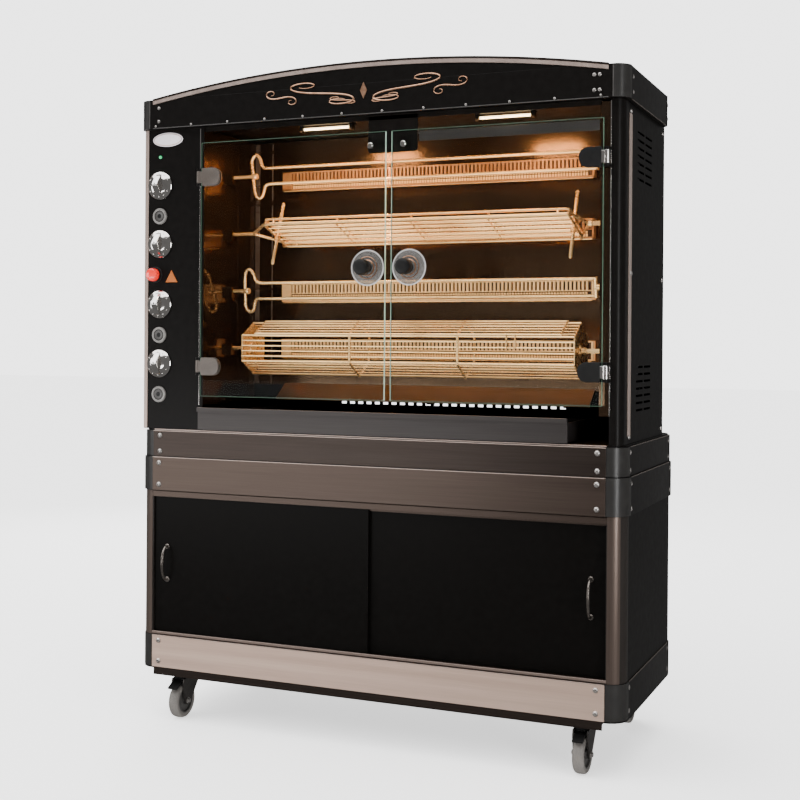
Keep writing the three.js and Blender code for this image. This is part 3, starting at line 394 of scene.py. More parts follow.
def smooth_path(points, steps=6):
    """A Catmull-Rom curve through the points."""
    points = [Vector(p) for p in points]
    padded = [2 * points[0] - points[1], *points, 2 * points[-1] - points[-2]]
    path = []
    for i in range(1, len(padded) - 2):
        a, b, c, d = padded[i - 1 : i + 3]
        for step in range(steps):
            t = step / steps
            square = (2 * a - 5 * b + 4 * c - d) * t**2
            cube = (3 * b - a - 3 * c + d) * t**3
            path.append(0.5 * (2 * b + (c - a) * t + square + cube))
    path.append(points[-1])
    return path


def arc(centre, radius, start, end, steps):
    """Points along an arc in a plane, from one angle in degrees to another."""
    angles = [math.radians(start + (end - start) * step / steps) for step in range(steps + 1)]
    return [(centre[0] + radius * math.cos(angle), centre[1] + radius * math.sin(angle)) for angle in angles]


def ellipse(x, z, half_x, half_z, steps=48):
    """Points round an ellipse seen from the front, ending where they began."""
    angles = [2 * math.pi * step / steps for step in range(steps + 1)]
    return [(x + half_x * math.cos(angle), z + half_z * math.sin(angle)) for angle in angles]


def rounded_outline(low, high, radius, steps=10):
    """A plan outline with rounded corners, anticlockwise from the front right corner."""
    (x0, y0), (x1, y1) = low, high
    right, left, back, front = x1 - radius, x0 + radius, y1 - radius, y0 + radius
    outline = []
    for centre, start in (((right, front), -90), ((right, back), 0), ((left, back), 90),
        ((left, front), 180)):
        outline += arc(centre, radius, start, start + 90, steps)
    return outline


def plan_band(low, high, radius, wall, span):
    outer = rounded_outline((low.x, low.y), (high.x, high.y), radius)
    inner = rounded_outline((low.x + wall, low.y + wall), (high.x - wall, high.y - wall), radius - wall)
    builder = Builder()
    builder.band(outer, inner, span)
    return builder


# ---------------------------------------------------------------- CAD nodes that stay, with their finishes


def dress(material, nodes, bevel=0.0):
    for node in nodes:
        piece = frame["nodes"][node]
        piece.data.materials.clear()
        piece.data.materials.append(MATERIALS[material])
        if bevel:
            soften(piece, bevel)


PLACES = ("front_left", "front_right", "rear_left", "rear_right")
dress("black_paint", ["base_floor"])
# The sides and back take the darker copy of the black paint, as painted shade.
dress("black_paint_painted_shade", ["cabinet_shell", "side_left", "side_right", "oven_back"])
dress("black_paint", ["worktop", "control_panel"], 0.6)
# The cabinet doors take the darker copy of the black paint too: painted shade.
dress("black_paint_painted_shade", ["cabinet_door_left", "cabinet_door_right"], 0.6)
dress("inner_steel", ["liner_left", "liner_right"])
dress("wall_steel", ["burner_wall"])
dress("motor_steel", ["motor_bank"])
dress("tray_metal", ["drip_tray"], 0.6)
dress("door_glass", ["glass_pane_left", "glass_pane_right"])
dress("caster_steel", [f"caster_fork_{place}" for place in PLACES])
dress("black_plastic", ["brake_pedal_front_left", "brake_pedal_front_right"], 0.8)


# ---------------------------------------------------------------- cabinet


SCREW_ROOM = 1.2
DOORWAY = FLAT_EDGE + 4


def corner_caps(name, low, high, radius, span):
    """A satin moulding round each upright corner, seen from above as a thin quarter ring."""
    caps = Builder()
    for side_x in (-1, 1):
        for side_y in (-1, 1):
            centre_x = side_x * (high.x - radius)
            centre_y = low.y + radius if side_y < 0 else high.y - radius
            outer, inner = (
                [(centre_x + side_x * dx, centre_y + side_y * dy) for dx, dy in arc((0, 0), reach, 0, 90, 14)]
                for reach in (radius + 1.0, radius + 0.05))
            caps.prism(outer + inner[::-1], span, "z")
    caps.finish(name, "corner_satin", "black_paint")


def cabinet_bands():
    """Each band is a black ring with rounded corners and a brushed sheet across its front."""
    rows = (("plinth", PLINTH_LOW, PLINTH_HIGH, 6, "pale_steel", (0.2, 0.83)),
        ("lower_band", LOWER_LOW, LOWER_HIGH, 9, "brown_steel", (0.18, 0.82)),
        ("upper_band", UPPER_LOW, UPPER_HIGH, 10, "dark_steel", (0.2, 0.8)))
    for name, low, high, wall, steel, heights in rows:
        proud = high.x - CABINET_HIGH.x
        inset = Vector((SCREW_ROOM, SCREW_ROOM, 0))
        ring = plan_band(low + inset, high - inset, CABINET_CORNER + proud, wall, (low.z, high.z))
        ring.finish(name, "black_paint", steel, replaces=[name], bevel=0.8)
        corner_caps(f"{name}_corners", low + inset, high - inset, CABINET_CORNER + proud,
            (low.z + 1, high.z - 1))
        sheet = Builder()
        sheet.slab((-FLAT_EDGE, low.y - 2, low.z + 0.5), (FLAT_EDGE, low.y + 1, high.z - 0.5))
        sheet.finish(f"{name}_front_sheet", steel, steel, bevel=0.9)
        bead = Builder()
        bead.slab((-FLAT_EDGE, low.y - 2.5, high.z - 2.4), (FLAT_EDGE, low.y - 1.0, high.z - 0.6))
        bead.finish(f"{name}_top_bead", "trim_beige", "pale_steel", bevel=0.3)
        screws = Builder()
        height = high.z - low.z
        for part in heights:
            z = low.z + part * height
            for side in (-1, 1):
                screws.screw((side * (FLAT_EDGE - 22), low.y - 2, z), (0, -1, 0), 7.5)
                for y in (low.y + 62, high.y - 62):
                    screws.screw((side * (high.x - SCREW_ROOM), y, z), (side, 0, 0), 6.5, 0.16)
        screws.finish(f"{name}_screws", "bright_zinc", "chrome")
        if name == "plinth":
            continue
        cap = Builder()
        inner = rounded_outline((low.x + wall, low.y + wall), (high.x - wall, high.y - wall),
            CABINET_CORNER - wall)
        cap.prism(inner, (low.z + 1, low.z + 3) if name == "lower_band" else (high.z - 3, high.z - 1), "z")
        cap.finish(f"{name}_deck", "inner_black", "black_paint")


def corner_post(side):
    """A front post: its flat face beside the doorway and the rounded corner back to the side panel."""
    wall = 4
    radius = CABINET_CORNER
    centre = (FLAT_EDGE, FRAME_LOW.y + radius)
    outer = [(DOORWAY, FRAME_LOW.y), *arc(centre, radius, -90, 0, 14)[2:], (CABINET_HIGH.x, FRAME_HIGH.y)]
    inner = [(DOORWAY, FRAME_LOW.y + wall), *arc(centre, radius - wall, -90, 0, 14)[2:]]
    inner.append((CABINET_HIGH.x - wall, FRAME_HIGH.y))
    return [(side * x, y) for x, y in outer + inner[::-1]]


def post_face(side):
    """The brushed sheet on a front post, in the lighter copy of its steel as painted light: flat beside the
    doorway, then half way round the corner.
    """
    centre = (FLAT_EDGE, FRAME_LOW.y + CABINET_CORNER)
    outer, inner = (
        [(DOORWAY - 0.6, FRAME_LOW.y - proud), *arc(centre, CABINET_CORNER + proud, -77.4, -43.8, 8)]
        for proud in (0.8, -0.4))
    return [(side * x, y) for x, y in outer + inner[::-1]]


def base_rail():
    """The dark channel that shows under the plinth, folded back under it to the base."""
    floor_low = corners("base_floor")[0]
    top = PLINTH_LOW.z - 0.4
    rail = Builder()
    rail.slab((-FLAT_EDGE + 4, PLINTH_LOW.y + 1, floor_low.z), (FLAT_EDGE - 6, PLINTH_LOW.y + 4, top))
    rail.slab((-FLAT_EDGE + 4, PLINTH_LOW.y + 1, top - 3), (FLAT_EDGE - 6, floor_low.y - GAP, top))
    rail.finish("base_rail", "dark_steel", "black_paint", bevel=0.6)


def cabinet_frame():
    low, high = FRAME_LOW, FRAME_HIGH
    posts = Builder()
    for side in (-1, 1):
        posts.prism(corner_post(side), (low.z, high.z), "z")
        inward = [side * (DOORWAY - 3), side * (DOORWAY + 1)]
        posts.slab((min(inward), low.y + 1, low.z), (max(inward), high.y, high.z))
    # The posts are in the dark copy of their steel: painted shade where the corner turns away from the light.
    posts.finish("cabinet_posts", "post_steel_painted_shade", "brown_steel", replaces=["cabinet_frame"], bevel=0.8)
    faces = Builder()
    for side in (-1, 1):
        faces.prism(post_face(side), (low.z, high.z), "z")
    faces.finish("cabinet_post_faces", "post_steel", "brown_steel")
    upper = Builder()
    upper.slab((-DOORWAY, low.y, high.z - 18), (DOORWAY, low.y + 5, high.z))
    upper.slab((-DOORWAY, low.y + 15, high.z - 24), (DOORWAY, low.y + 17.5, high.z - 6))
    upper.slab((-DOORWAY, high.y - 6, high.z - 24), (DOORWAY, high.y, high.z))
    upper.slab((-DOORWAY, low.y, high.z - 3), (DOORWAY, high.y, high.z))
    upper.finish("upper_rail", "brown_steel", "brown_steel", bevel=0.8)
    lower = Builder()
    lower.slab((-DOORWAY, low.y, low.z), (DOORWAY, low.y + 5, low.z + 9))
    lower.slab((-DOORWAY, high.y - 6, low.z), (DOORWAY, high.y, low.z + 9))
    lower.slab((-DOORWAY, low.y, low.z), (DOORWAY, high.y, low.z + 3))
    lower.finish("lower_rail", "rail_steel", "pale_steel", bevel=0.8)


def bow_handle(node, body, piece_name):
    low, high = corners(node)
    x = (low.x + high.x) / 2
    front = low.y
    back = high.y
    z0, z1 = low.z + 13, high.z - 13
    middle = (z0 + z1) / 2
    rise = (z1 - z0) / 2
    path = smooth_path([(x, back, z0), (x, back - 10, z0 + 1), (x, front + 11, middle - 0.72 * rise),
        (x, front + 6, middle - 0.36 * rise), (x, front + 4.5, middle), (x, front + 6,
        middle + 0.36 * rise), (x, front + 11, middle + 0.72 * rise), (x, back - 10, z1 - 1),
        (x, back, z1)], 8)
    grip = Builder()
    radii = [3.2 + 1.0 * math.sin(math.pi * i / (len(path) - 1)) for i in range(len(path))]
    grip.tube(path, radii, 14)
    for z in (z0, z1):
        grip.turned([(0, 0), (7.5, 0), (7.5, 2), (6, 3.5), (0, 3.5)], (x, back, z), (0, -1, 0), 24)
    grip.finish(piece_name, "handle_metal", "chrome", body, replaces=[node])


cabinet_bands()
cabinet_frame()
base_rail()
bow_handle("cabinet_handle_left", "cabinet_door_left_body", "bow_handle_left")
bow_handle("cabinet_handle_right", "cabinet_door_right_body", "bow_handle_right")


# ---------------------------------------------------------------- casters


def caster(tag, braked):
    wheel = pivot(f"caster_roll_{tag}")
    swivel = pivot(f"caster_swivel_{tag}")
    low, high = corners(f"caster_wheel_{tag}")
    radius = (high.z - low.z) / 2
    half = (high.x - low.x) / 2
    tread = Builder()
    tread.turned([(0.72 * radius, -half + 1), (0.9 * radius, -half), (0.97 * radius, -half + 3),
        (radius, -half + 8), (radius, half - 8), (0.97 * radius, half - 3), (0.9 * radius, half),
        (0.72 * radius, half - 1)], wheel, (1, 0, 0), 56, closed=True)
    tread.finish(f"caster_tread_{tag}", "grey_rubber", "grey_rubber", f"wheel_{tag}",
        replaces=[f"caster_wheel_{tag}"])
    hub = Builder()
    rim = 0.72 * radius
    hub.turned([(5, -half + 1), (12, -half + 1), (13, -half + 5), (rim - 5, -half + 6),
        (rim - 3, -half + 1), (rim, -half + 1), (rim, half - 1), (rim - 3, half - 1), (rim - 5, half - 6),
        (13, half - 5), (12, half - 1), (5, half - 1)], wheel, (1, 0, 0), 48, closed=True)
    hub.finish(f"caster_hub_{tag}", "grey_plastic", "grey_rubber", f"wheel_{tag}")
    hardware = Builder()
    for side in (-1, 1):
        face = wheel + Vector((side * (half + 6), 0, 0))
        hardware.turned([(0, 0), (9.5, 0), (9.5, 1.5), (6.5, 1.6), (6.5, 6), (5, 7), (0, 7)], face,
            (side, 0, 0), 6)
    hardware.finish(f"caster_axle_nuts_{tag}", "bright_zinc", "caster_steel", f"caster_{tag}")
    plate = Builder()
    for dx in (-1, 1):
        for dy in (-1, 1):
            plate.turned([(0, 0), (8, 0), (8, 5), (6, 6), (0, 6)], (swivel.x + dx * 39, swivel.y + dy * 31,
                128), (0, 0, -1), 6)
    plate.finish(f"caster_bolts_{tag}", "bright_zinc", "chrome")
    race = Builder()
    race.turned([(20, 0), (36, 0), (38, 4), (38, 9), (30, 13), (20, 13)], (swivel.x, swivel.y, 114),
        (0, 0, 1), 40, True)
    race.finish(f"caster_race_{tag}", "caster_steel", "caster_steel", f"caster_{tag}")
    if braked:
        side = math.copysign(1, wheel.y - swivel.y)
        box = Builder()
        outline = [(wheel.y - side * 8, 96 + GAP), (wheel.y + side * 14, 108), (wheel.y + side * 20, 118),
            (wheel.y + side * 4, 124), (wheel.y - side * 14, 122), (wheel.y - side * 18, 108)]
        box.prism(outline, (wheel.x - 15, wheel.x + 15), "x")
        for i in range(5):
            x = wheel.x - 12 + 5.2 * i
            front = wheel.y + side * 13
            ys = sorted((front, front + side * 4.5))
            box.slab((x, ys[0], 103), (x + 2.6, ys[1], 119))
        box.finish(f"brake_box_{tag}", "black_plastic", "black_plastic", f"caster_{tag}", bevel=2.0)


for place in PLACES:
    caster(place, place.startswith("front"))


# ---------------------------------------------------------------- oven body


def post_right():
    low, high = corners("post_right")
    radius = 26
    wall = 3
    x1 = BODY_HALF
    x0 = 666
    y0 = BODY_FRONT
    y1 = high.y
    centre = (x1 - radius, y0 + radius)
    outer = [(x0, y0), *arc(centre, radius, -90, 0, 12), (x1, y1)]
    inner = [(x0, y0 + wall), *arc(centre, radius - wall, -90, 0, 12), (x1 - wall, y1)]
    post = Builder()
    post.prism(outer + inner[::-1], (low.z, high.z), "z")
    hinge = pivot("glass_door_right_hinge")
    hinge_knuckles(post, hinge.x, x0 + 4, 1)
    post.finish("corner_post_right", "black_paint", "black_paint", replaces=["post_right"], bevel=0.6)


CLAMP_HEIGHTS = [
    sum(corner.z for corner in corners(f"clamp_{level}_left")) / 2 for level in ("upper", "lower")]
KNUCKLE_NEAR = 17.5
KNUCKLE_FAR = 25


def hinge_knuckles(builder, hinge_x, wall_x, side):
    axis_y = pivot("glass_door_left_hinge").y
    for height in CLAMP_HEIGHTS:
        for sign in (-1, 1):
            z0, z1 = sorted((height + sign * KNUCKLE_NEAR, height + sign * KNUCKLE_FAR))
            builder.turned([(0, 0), (7.2, 0), (8, 0.8), (8, z1 - z0 - 0.8), (7.2, z1 - z0), (0, z1 - z0)],
                (hinge_x, axis_y, z0), (0, 0, 1), 24)
            xs = sorted((hinge_x, wall_x))
            builder.slab((xs[0], axis_y + 2, z0), (xs[1], BODY_FRONT + 1, z1))


def body_trim():
    """Pale strips painted on as highlight lines along the left front corner and behind the right post, and
    the door trims.
    """
    left = Builder()
    z0, z1 = BODY_LOW.z + 1, HEADER_LOW.z - 1
    x0 = -BODY_HALF - 1.2
    # A pale strip over the left front corner: painted highlight.
    left.slab((x0, BODY_FRONT - 1.6, z0), (x0 + 12, BODY_FRONT, z1))
    left.slab((x0, BODY_FRONT - 1.6, z0), (x0 + 1.2, BODY_FRONT + 20, z1))
    left.finish("corner_highlight_left", "trim_beige", "pale_steel", bevel=0.5)
    right = Builder()
    y0 = corners("side_right")[0].y
    # A pale strip where the right post's corner meets the side: painted highlight.
    right.slab((BODY_HALF, y0 - 4, z0 + 20), (BODY_HALF + 2.2, y0 + 22, z1 - 28))
    right.finish("side_highlight_right", "trim_beige", "pale_steel", bevel=0.5)
    doors = Builder()
    panel_edge = corners("control_panel")[1].x
    bottom = 905
    doors.slab((panel_edge - 13, BODY_FRONT - 2.2, bottom), (panel_edge - 10, BODY_FRONT, z1 - 4))
    post_x = corners("post_right")[0].x
    doors.slab((post_x + 14, BODY_FRONT - 1.2, bottom), (post_x + 16.5, BODY_FRONT + 2, z1 - 4))
    doors.finish("doorway_trims", "chrome", "chrome", bevel=0.3)


def side_screws():
    screws = Builder()
    y0 = corners("side_right")[0].y + 14
    for part in (0.02, 0.5, 0.975):
        z = BODY_LOW.z + part * (BODY_HIGH.z - BODY_LOW.z)
        for y in (y0, BODY_BACK - 22):
            screws.screw((BODY_HALF + (2.2 if y == y0 and 0.1 < part < 0.9 else 0), y, z), (1, 0, 0), 6)
            screws.screw((-BODY_HALF, y, z), (-1, 0, 0), 6)
    for x in (-640, -213, 213, 640):
        for z in (BODY_LOW.z + 22, BODY_LOW.z + 430, BODY_HIGH.z - 22):
            screws.screw((x, BODY_BACK, z), (0, 1, 0), 6)
    screws.finish("body_screws", "bright_zinc", "chrome")


def seams():
    """Thin lips where the covers meet at the sides and back."""
    lips = Builder()
    for low, high in ((LOWER_LOW, LOWER_HIGH), (UPPER_LOW, UPPER_HIGH), (PLINTH_LOW, PLINTH_HIGH)):
        for side in (-1, 1):
            xs = sorted((side * (high.x - 2.0), side * (high.x - 0.3)))
            lips.slab((xs[0], low.y + 60, high.z - 1.5), (xs[1], high.y - 60, high.z + 0.3))
        lips.slab((-FLAT_EDGE + 10, high.y - 2.0, high.z - 1.5), (FLAT_EDGE - 10, high.y - 0.3, high.z + 0.3))
    for side in (-1, 1):
        xs = sorted((side * (HEADER_HIGH.x - 2.0), side * (HEADER_HIGH.x - 0.1)))
        lips.slab((xs[0], HEADER_LOW.y + 50, HEADER_LOW.z - 0.3), (xs[1], HEADER_HIGH.y - 50,
            HEADER_LOW.z + 1.4))
    lips.finish("cover_lips", "clamp_taupe", "black_paint")
    back = Builder()
    z0, z1 = BODY_LOW.z + 6, BODY_HIGH.z - 6
    for x in (-427, 0, 427):
        back.slab((x - 14, BODY_BACK, z0 + 60), (x + 14, BODY_BACK + 1.5, z1))
    back.finish("back_joint_strips", "corner_satin", "black_paint", bevel=0.5)


def worktop_edge():
    """A thin folded edge along the front of the worktop, under the tray."""
    edge = Builder()
    low, high = corners("worktop")
    edge.slab((-FLAT_EDGE, low.y - 3, high.z - 3), (FLAT_EDGE, low.y, high.z))
    edge.finish("worktop_edge", "trim_beige", "pale_steel", bevel=0.5)


post_right()
body_trim()
side_screws()
seams()
worktop_edge()


# ---------------------------------------------------------------- header


def arch_height(x):
    rise = HEADER_HIGH.z - ARCH_END
    radius = (ARCH_HALF**2 + rise**2) / (2 * rise)
    return HEADER_HIGH.z - radius + math.sqrt(radius**2 - x**2)


def arch_points(count, drop=0.0, half=ARCH_HALF):
    return [(x, arch_height(x) - drop) for x in [half - 2 * half * i / count for i in range(count + 1)]]


def header():
    low, high = HEADER_LOW, HEADER_HIGH
    shell = Builder()
    plan = rounded_outline((low.x, low.y), (high.x, high.y), 36, 14)
    shell.prism(plan, (low.z, HEADER_SIDE_TOP), "z")
    half = ARCH_HALF - 1
    arch = [(-half, low.z + 20), (half, low.z + 20), *arch_points(60, 2, half)]
    shell.prism(arch, (low.y + 0.5, high.y - 0.5), "y")
    shell.finish("header_box", "black_paint", "black_paint", replaces=["header"], bevel=1.0)
    corner_caps("header_corners", low, high, 36, (low.z + 0.5, HEADER_SIDE_TOP - 0.5))
    trims = (("header_trim_dark", 0, 5.5, 4.0, "dark_steel", "dark_steel"),
        ("header_trim_pale", 6, 16, 3.0, "trim_beige", "pale_steel"))
    for name, top, bottom, proud, material, slot in trims:
        strip = Builder()
        outline = arch_points(60, top) + arch_points(60, bottom)[::-1]
        strip.prism(outline, (low.y - proud, low.y + 6), "y")
        strip.finish(name, material, slot, bevel=0.6)
    corner = Builder()
    for side in (-1, 1):
        x0, x1 = sorted((side * (high.x - 36), side * (high.x - 38.5)))
        corner.slab((x0, low.y - 1.2, low.z + 1), (x1, low.y, HEADER_SIDE_TOP - 1))
    corner.slab((-ARCH_HALF, low.y - 1.0, low.z), (ARCH_HALF, low.y, low.z + 2.2))
    corner.finish("header_seams", "grey_plastic", "black_paint", bevel=0.3)
    screws = Builder()
    for z in (low.z + 20, low.z + 58):
        for x in (-645, 628, 642):
            screws.screw((x, low.y, z), (0, -1, 0), 5)
        for y in (low.y + 58, high.y - 26):
            for side in (-1, 1):
                screws.screw((side * high.x, y, z), (side, 0, 0), 5.5, 0.16)
    for i in range(12):
        screws.screw((-655 + i * 1300 / 11, low.y - 1, low.z + 6), (0, -1, 0), 3.6)
    screws.finish("header_screws", "bright_zinc", "chrome")


def scroll(centre, size, lean, mirror, turns):
    """An S scroll that curls in at both ends, fitted into a box of the given width and height."""
    count = 140
    x = z = 0.0
    half = []
    for i in range(count + 1):
        t = i / count
        half.append((x, z))
        heading = turns * t * t
        x += math.cos(heading) / count
        z += math.sin(heading) / count
    line = [(-px, -pz) for px, pz in half[::-1]] + half[1:]
    cos, sin = math.cos(lean), math.sin(lean)
    leant = [(px * cos - pz * sin, px * sin + pz * cos) for px, pz in line]
    wide = max(px for px, _ in leant)
    tall = max(pz for _, pz in leant)
    across = mirror * size[0] / 2 / wide
    rise = size[1] / 2 / tall
    return [(centre[0] + across * px, HEADER_LOW.y - 1.0, centre[1] + rise * pz) for px, pz in leant]


def ornament():
    """A symmetrical copper scroll on the header: S scrolls of three sizes each side of a lozenge."""
    middle = HEADER_LOW.z + 64
    work = Builder()
    for mirror in (-1, 1):
        for start, drop, size, lean, turns, thick in ((124, 0, (190, 62), 0.3, 7.2, 2.6),
            (248, -4, (92, 40), -0.2, 6.6, 2.0), (62, -22, (74, 20), 0.2, 6.0, 1.5)):
            path = scroll((mirror * start, middle + drop), size, lean, mirror, turns)
            count = len(path)
            radii = [thick * (0.3 + 0.7 * math.sin(math.pi * i / (count - 1))) for i in range(count)]
            work.tube(path, radii, 8)
    lozenge = [(0, middle - 22), (10, middle), (0, middle + 22), (-10, middle)]
    work.prism(lozenge, (HEADER_LOW.y - 2.5, HEADER_LOW.y), "y")
    work.finish("header_scroll", "copper", "burner_metal")


header()
ornament()


# ---------------------------------------------------------------- controls


def control_knob(index):
    centre = pivot(f"control_knob_{index}_turn")
    low = corners(f"control_knob_{index}")[0]
    face = BODY_FRONT - GAP
    reach = face - low.y
    knob = Builder()
    knob.turned([(0, 0.5), (39, 0.5), (40, 1.5), (40, 3), (38, 5.5), (33, 8), (25, 11), (20, 12.5),
        (0, 13)], (centre.x, face, centre.z), (0, -1, 0), 56)
    steps = 9
    for i in range(12):
        angle = 2 * math.pi * i / 12
        if i % 6 == 0:
            continue
        knob.turned([(0, 0), (1.6, 0), (1.6, 1.2), (0, 1.8)], (centre.x + 33 * math.cos(angle), face - 7.6,
            centre.z + 33 * math.sin(angle)), (0, -1, 0), 10)
    outline = []
    for i in range(-steps, steps + 1):
        part = 1 - abs(i) / steps
        half = 34 * (1 - part) ** 0.75 if part < 1 else 0
        outline.append((face - 5 - (reach - 5.2) * part**0.9, centre.z + math.copysign(half, i)))
    grip = Builder()
    grip.prism(outline, (centre.x - 9.5, centre.x + 9.5), "x")
    knob.finish(f"knob_skirt_{index}", "chrome", "chrome", f"control_knob_{index}_body",
        replaces=[f"control_knob_{index}"])
    grip.finish(f"knob_grip_{index}", "chrome", "chrome", f"control_knob_{index}_body", bevel=3.0)
    mark = Builder()
    mark.slab((centre.x - 1, low.y - 0.1, centre.z + 2), (centre.x + 1, low.y + 4, centre.z + 5))
    mark.finish(f"knob_mark_{index}", "black_plastic", "black_plastic", f"control_knob_{index}_body")


def push_button(index):
    low, high = corners(f"push_button_{index}")
    x = (low.x + high.x) / 2
    z = (low.z + high.z) / 2
    ring = Builder()
    ring.turned([(15.2, 0), (23.2, 0), (23, 4), (21.5, 5.8), (19, 6.3), (16.5, 5.6), (15.2, 4)],
        (x, BODY_FRONT, z), (0, -1, 0), 48, closed=True)
    ring.finish(f"button_ring_{index}", "ring_grey", "caster_steel")
    cap = Builder()
    reach = BODY_FRONT - low.y
    cap.turned([(0, -10), (14.2, -10), (14.2, reach - 1.2), (13, reach), (8, reach - 0.4),
        (4.5, reach - 1.6), (0, reach - 1.8)], (x, BODY_FRONT, z), (0, -1, 0), 40)
    dimple = Builder()
    dimple.turned([(0, 0), (6.5, 0), (6.5, 0.5), (4, 0.8), (0, 0.2)], (x, low.y + 1.3, z), (0, -1, 0), 32)
    dimple.finish(f"button_dimple_{index}", "black_plastic", "black_plastic", f"push_button_{index}_body")
    cap.finish(f"button_cap_{index}", "grey_plastic", "black_plastic", f"push_button_{index}_body",
        replaces=[f"push_button_{index}"])


def red_button():
    low, high = corners("red_button")
    x = (low.x + high.x) / 2
    z = (low.z + high.z) / 2
    reach = BODY_FRONT - low.y
    button = Builder()
    button.turned([(0, -12), (10.3, -12), (10.3, 7.5), (17.5, 7.5), (18.8, 9), (18.8, reach - 6),
        (17, reach - 2.2), (12, reach - 0.4), (0, reach)], (x, BODY_FRONT, z), (0, -1, 0), 48)
    button.finish("red_stop_button", "red_plastic", "red_plastic", "red_button_body", replaces=["red_button"])
    collar = Builder()
    collar.turned([(11.2, 0), (23, 0), (23, 1), (22, 2), (11.2, 2)], (x, BODY_FRONT, z), (0, -1, 0), 48,
        closed=True)
    collar.finish("red_button_collar", "black_plastic", "black_plastic")


def panel_signs():
    """A plain white oval badge, a green pilot lamp and a plain amber triangular lens."""
    panel_x = pivot("control_knob_1_turn").x
    badge = Builder()
    centre = Vector((panel_x + 25, BODY_FRONT, BODY_HIGH.z - 30))
    badge.prism(ellipse(centre.x, centre.z, 50, 20)[:-1], (centre.y - 2.2, centre.y), "y")
    badge.finish("oval_badge", "badge_enamel", "chrome", bevel=0.8)
    rim = Builder()
    ring = [(x, centre.y - 2.3, z) for x, z in ellipse(centre.x, centre.z, 46, 16.5)]
    rim.tube(ring, 0.8, 8)
    rim.finish("badge_rim", "copper", "burner_metal")
    pilot = Builder()
    pilot.turned([(0, 0), (4.6, 0), (4.6, 2), (3.4, 4), (0, 4.8)], (panel_x, BODY_FRONT, BODY_HIGH.z - 79),
        (0, -1, 0), 28)
    pilot.finish("pilot_lamp", "green_lens", "lamp_glass")
    low, high = corners("red_button")
    z = (low.z + high.z) / 2 - 5
    x = panel_x + 40
    lens = Builder()
    lens.prism([(x - 20, z - 17), (x + 20, z - 17), (x, z + 18)], (BODY_FRONT - 2.5, BODY_FRONT), "y")
    lens.finish("amber_lens", "amber_lens", "lamp_glass", bevel=1.0)


for number in range(1, 5):
    control_knob(number)
for number in range(1, 4):
    push_button(number)
red_button()
panel_signs()


# ---------------------------------------------------------------- glass doors


def door_knob(side):
    low, high = corners(f"door_knob_{side}")
    x = (low.x + high.x) / 2
    z = (low.z + high.z) / 2
    face = GLASS_LOW.y
    reach = face - low.y
    body = f"glass_door_{side}"
    knob = Builder()
    knob.turned([(0, 5), (13, 5), (12, 12), (11.5, 18), (14, 23), (20, 27), (21.5, 30), (21.5, reach - 5),
        (20, reach - 1.5), (17, reach), (6, reach - 0.6), (0, reach - 0.6)], (x, face, z), (0, -1, 0), 56)
    knob.turned([(0, -13), (13, -13), (14, -12), (14, -7), (5.4, -6.3), (5.4, 5), (0, 5)], (x, face, z),
        (0, -1, 0), 40)
    knob.finish(f"pull_knob_{side}", "black_plastic", "black_plastic", body, replaces=[f"door_knob_{side}"])
    disc = Builder()
    disc.turned([(13.2, GAP), (44, GAP), (44, 2.2), (30, 3.4), (13.2, 4)], (x, face, z), (0, -1, 0), 64,
        closed=True)
    disc.finish(f"knob_disc_{side}", "disc_glass", "black_plastic", body)
    # The rim of the disc, in the lighter copy of its glass: painted highlight.
    rim = Builder()
    rim.turned([(44.2, GAP), (48, GAP), (48.4, 1.6), (47, 3.2), (45, 3.4), (44.2, 2)], (x, face, z),
        (0, -1, 0), 64, True)
    rim.finish(f"knob_rim_painted_highlight_{side}", "disc_rim_painted_highlight", "black_plastic", body)
    rings = Builder()
    for radius, wire in ((20, 2.0), (29, 1.2)):
        ring = [(px, face - 4.6, pz) for px, pz in ellipse(x, z, radius, radius)]
        rings.tube(ring, wire, 8)
    rings.finish(f"knob_rings_{side}", "copper", "burner_metal", body)


def glass_trim():
    """Pale green cut edges round each pane, with a painted glow that is brightest on the meeting edges, and
    the two discs the magnetic catches hold.
    """
    for side, low, high in (("left", GLASS_LOW, GLASS_HIGH), ("right", RIGHT_GLASS_LOW, RIGHT_GLASS_HIGH)):
        edge = Builder()
        thick = 0.9
        hinge_side = (low.x - thick, low.x) if side == "left" else (high.x, high.x + thick)
        meeting_side = (high.x, high.x + thick) if side == "left" else (low.x - thick, low.x)
        edge.slab((hinge_side[0], low.y, low.z), (hinge_side[1], high.y, high.z))
        edge.slab((low.x, low.y, high.z), (high.x, high.y, high.z + thick))
        edge.slab((low.x, low.y, low.z - thick), (high.x, high.y, low.z))
        edge.finish(f"glass_edge_tint_and_glow_{side}", "glass_edge_tint_and_glow", "door_glass", f"glass_door_{side}")
        meeting = Builder()
        meeting.slab((meeting_side[0], low.y, low.z), (meeting_side[1], high.y, high.z))
        meeting.finish(f"meeting_edge_painted_glow_{side}", "meeting_edge_painted_glow", "door_glass", f"glass_door_{side}")
    for side, x in (("left", GLASS_HIGH.x - 44), ("right", RIGHT_GLASS_LOW.x + 32)):
        disc = Builder()
        disc.turned([(0, 0.3), (8, 0.3), (8, 2), (6.5, 3.2), (0, 3.6)], (x, GLASS_LOW.y, CATCH_HEIGHT),
            (0, -1, 0), 32)
        disc.turned([(0, 0.3), (8, 0.3), (8, 2), (0, 2.4)], (x, GLASS_HIGH.y, CATCH_HEIGHT), (0, 1, 0), 32)
        disc.finish(f"catch_disc_{side}", "chrome", "chrome", f"glass_door_{side}")


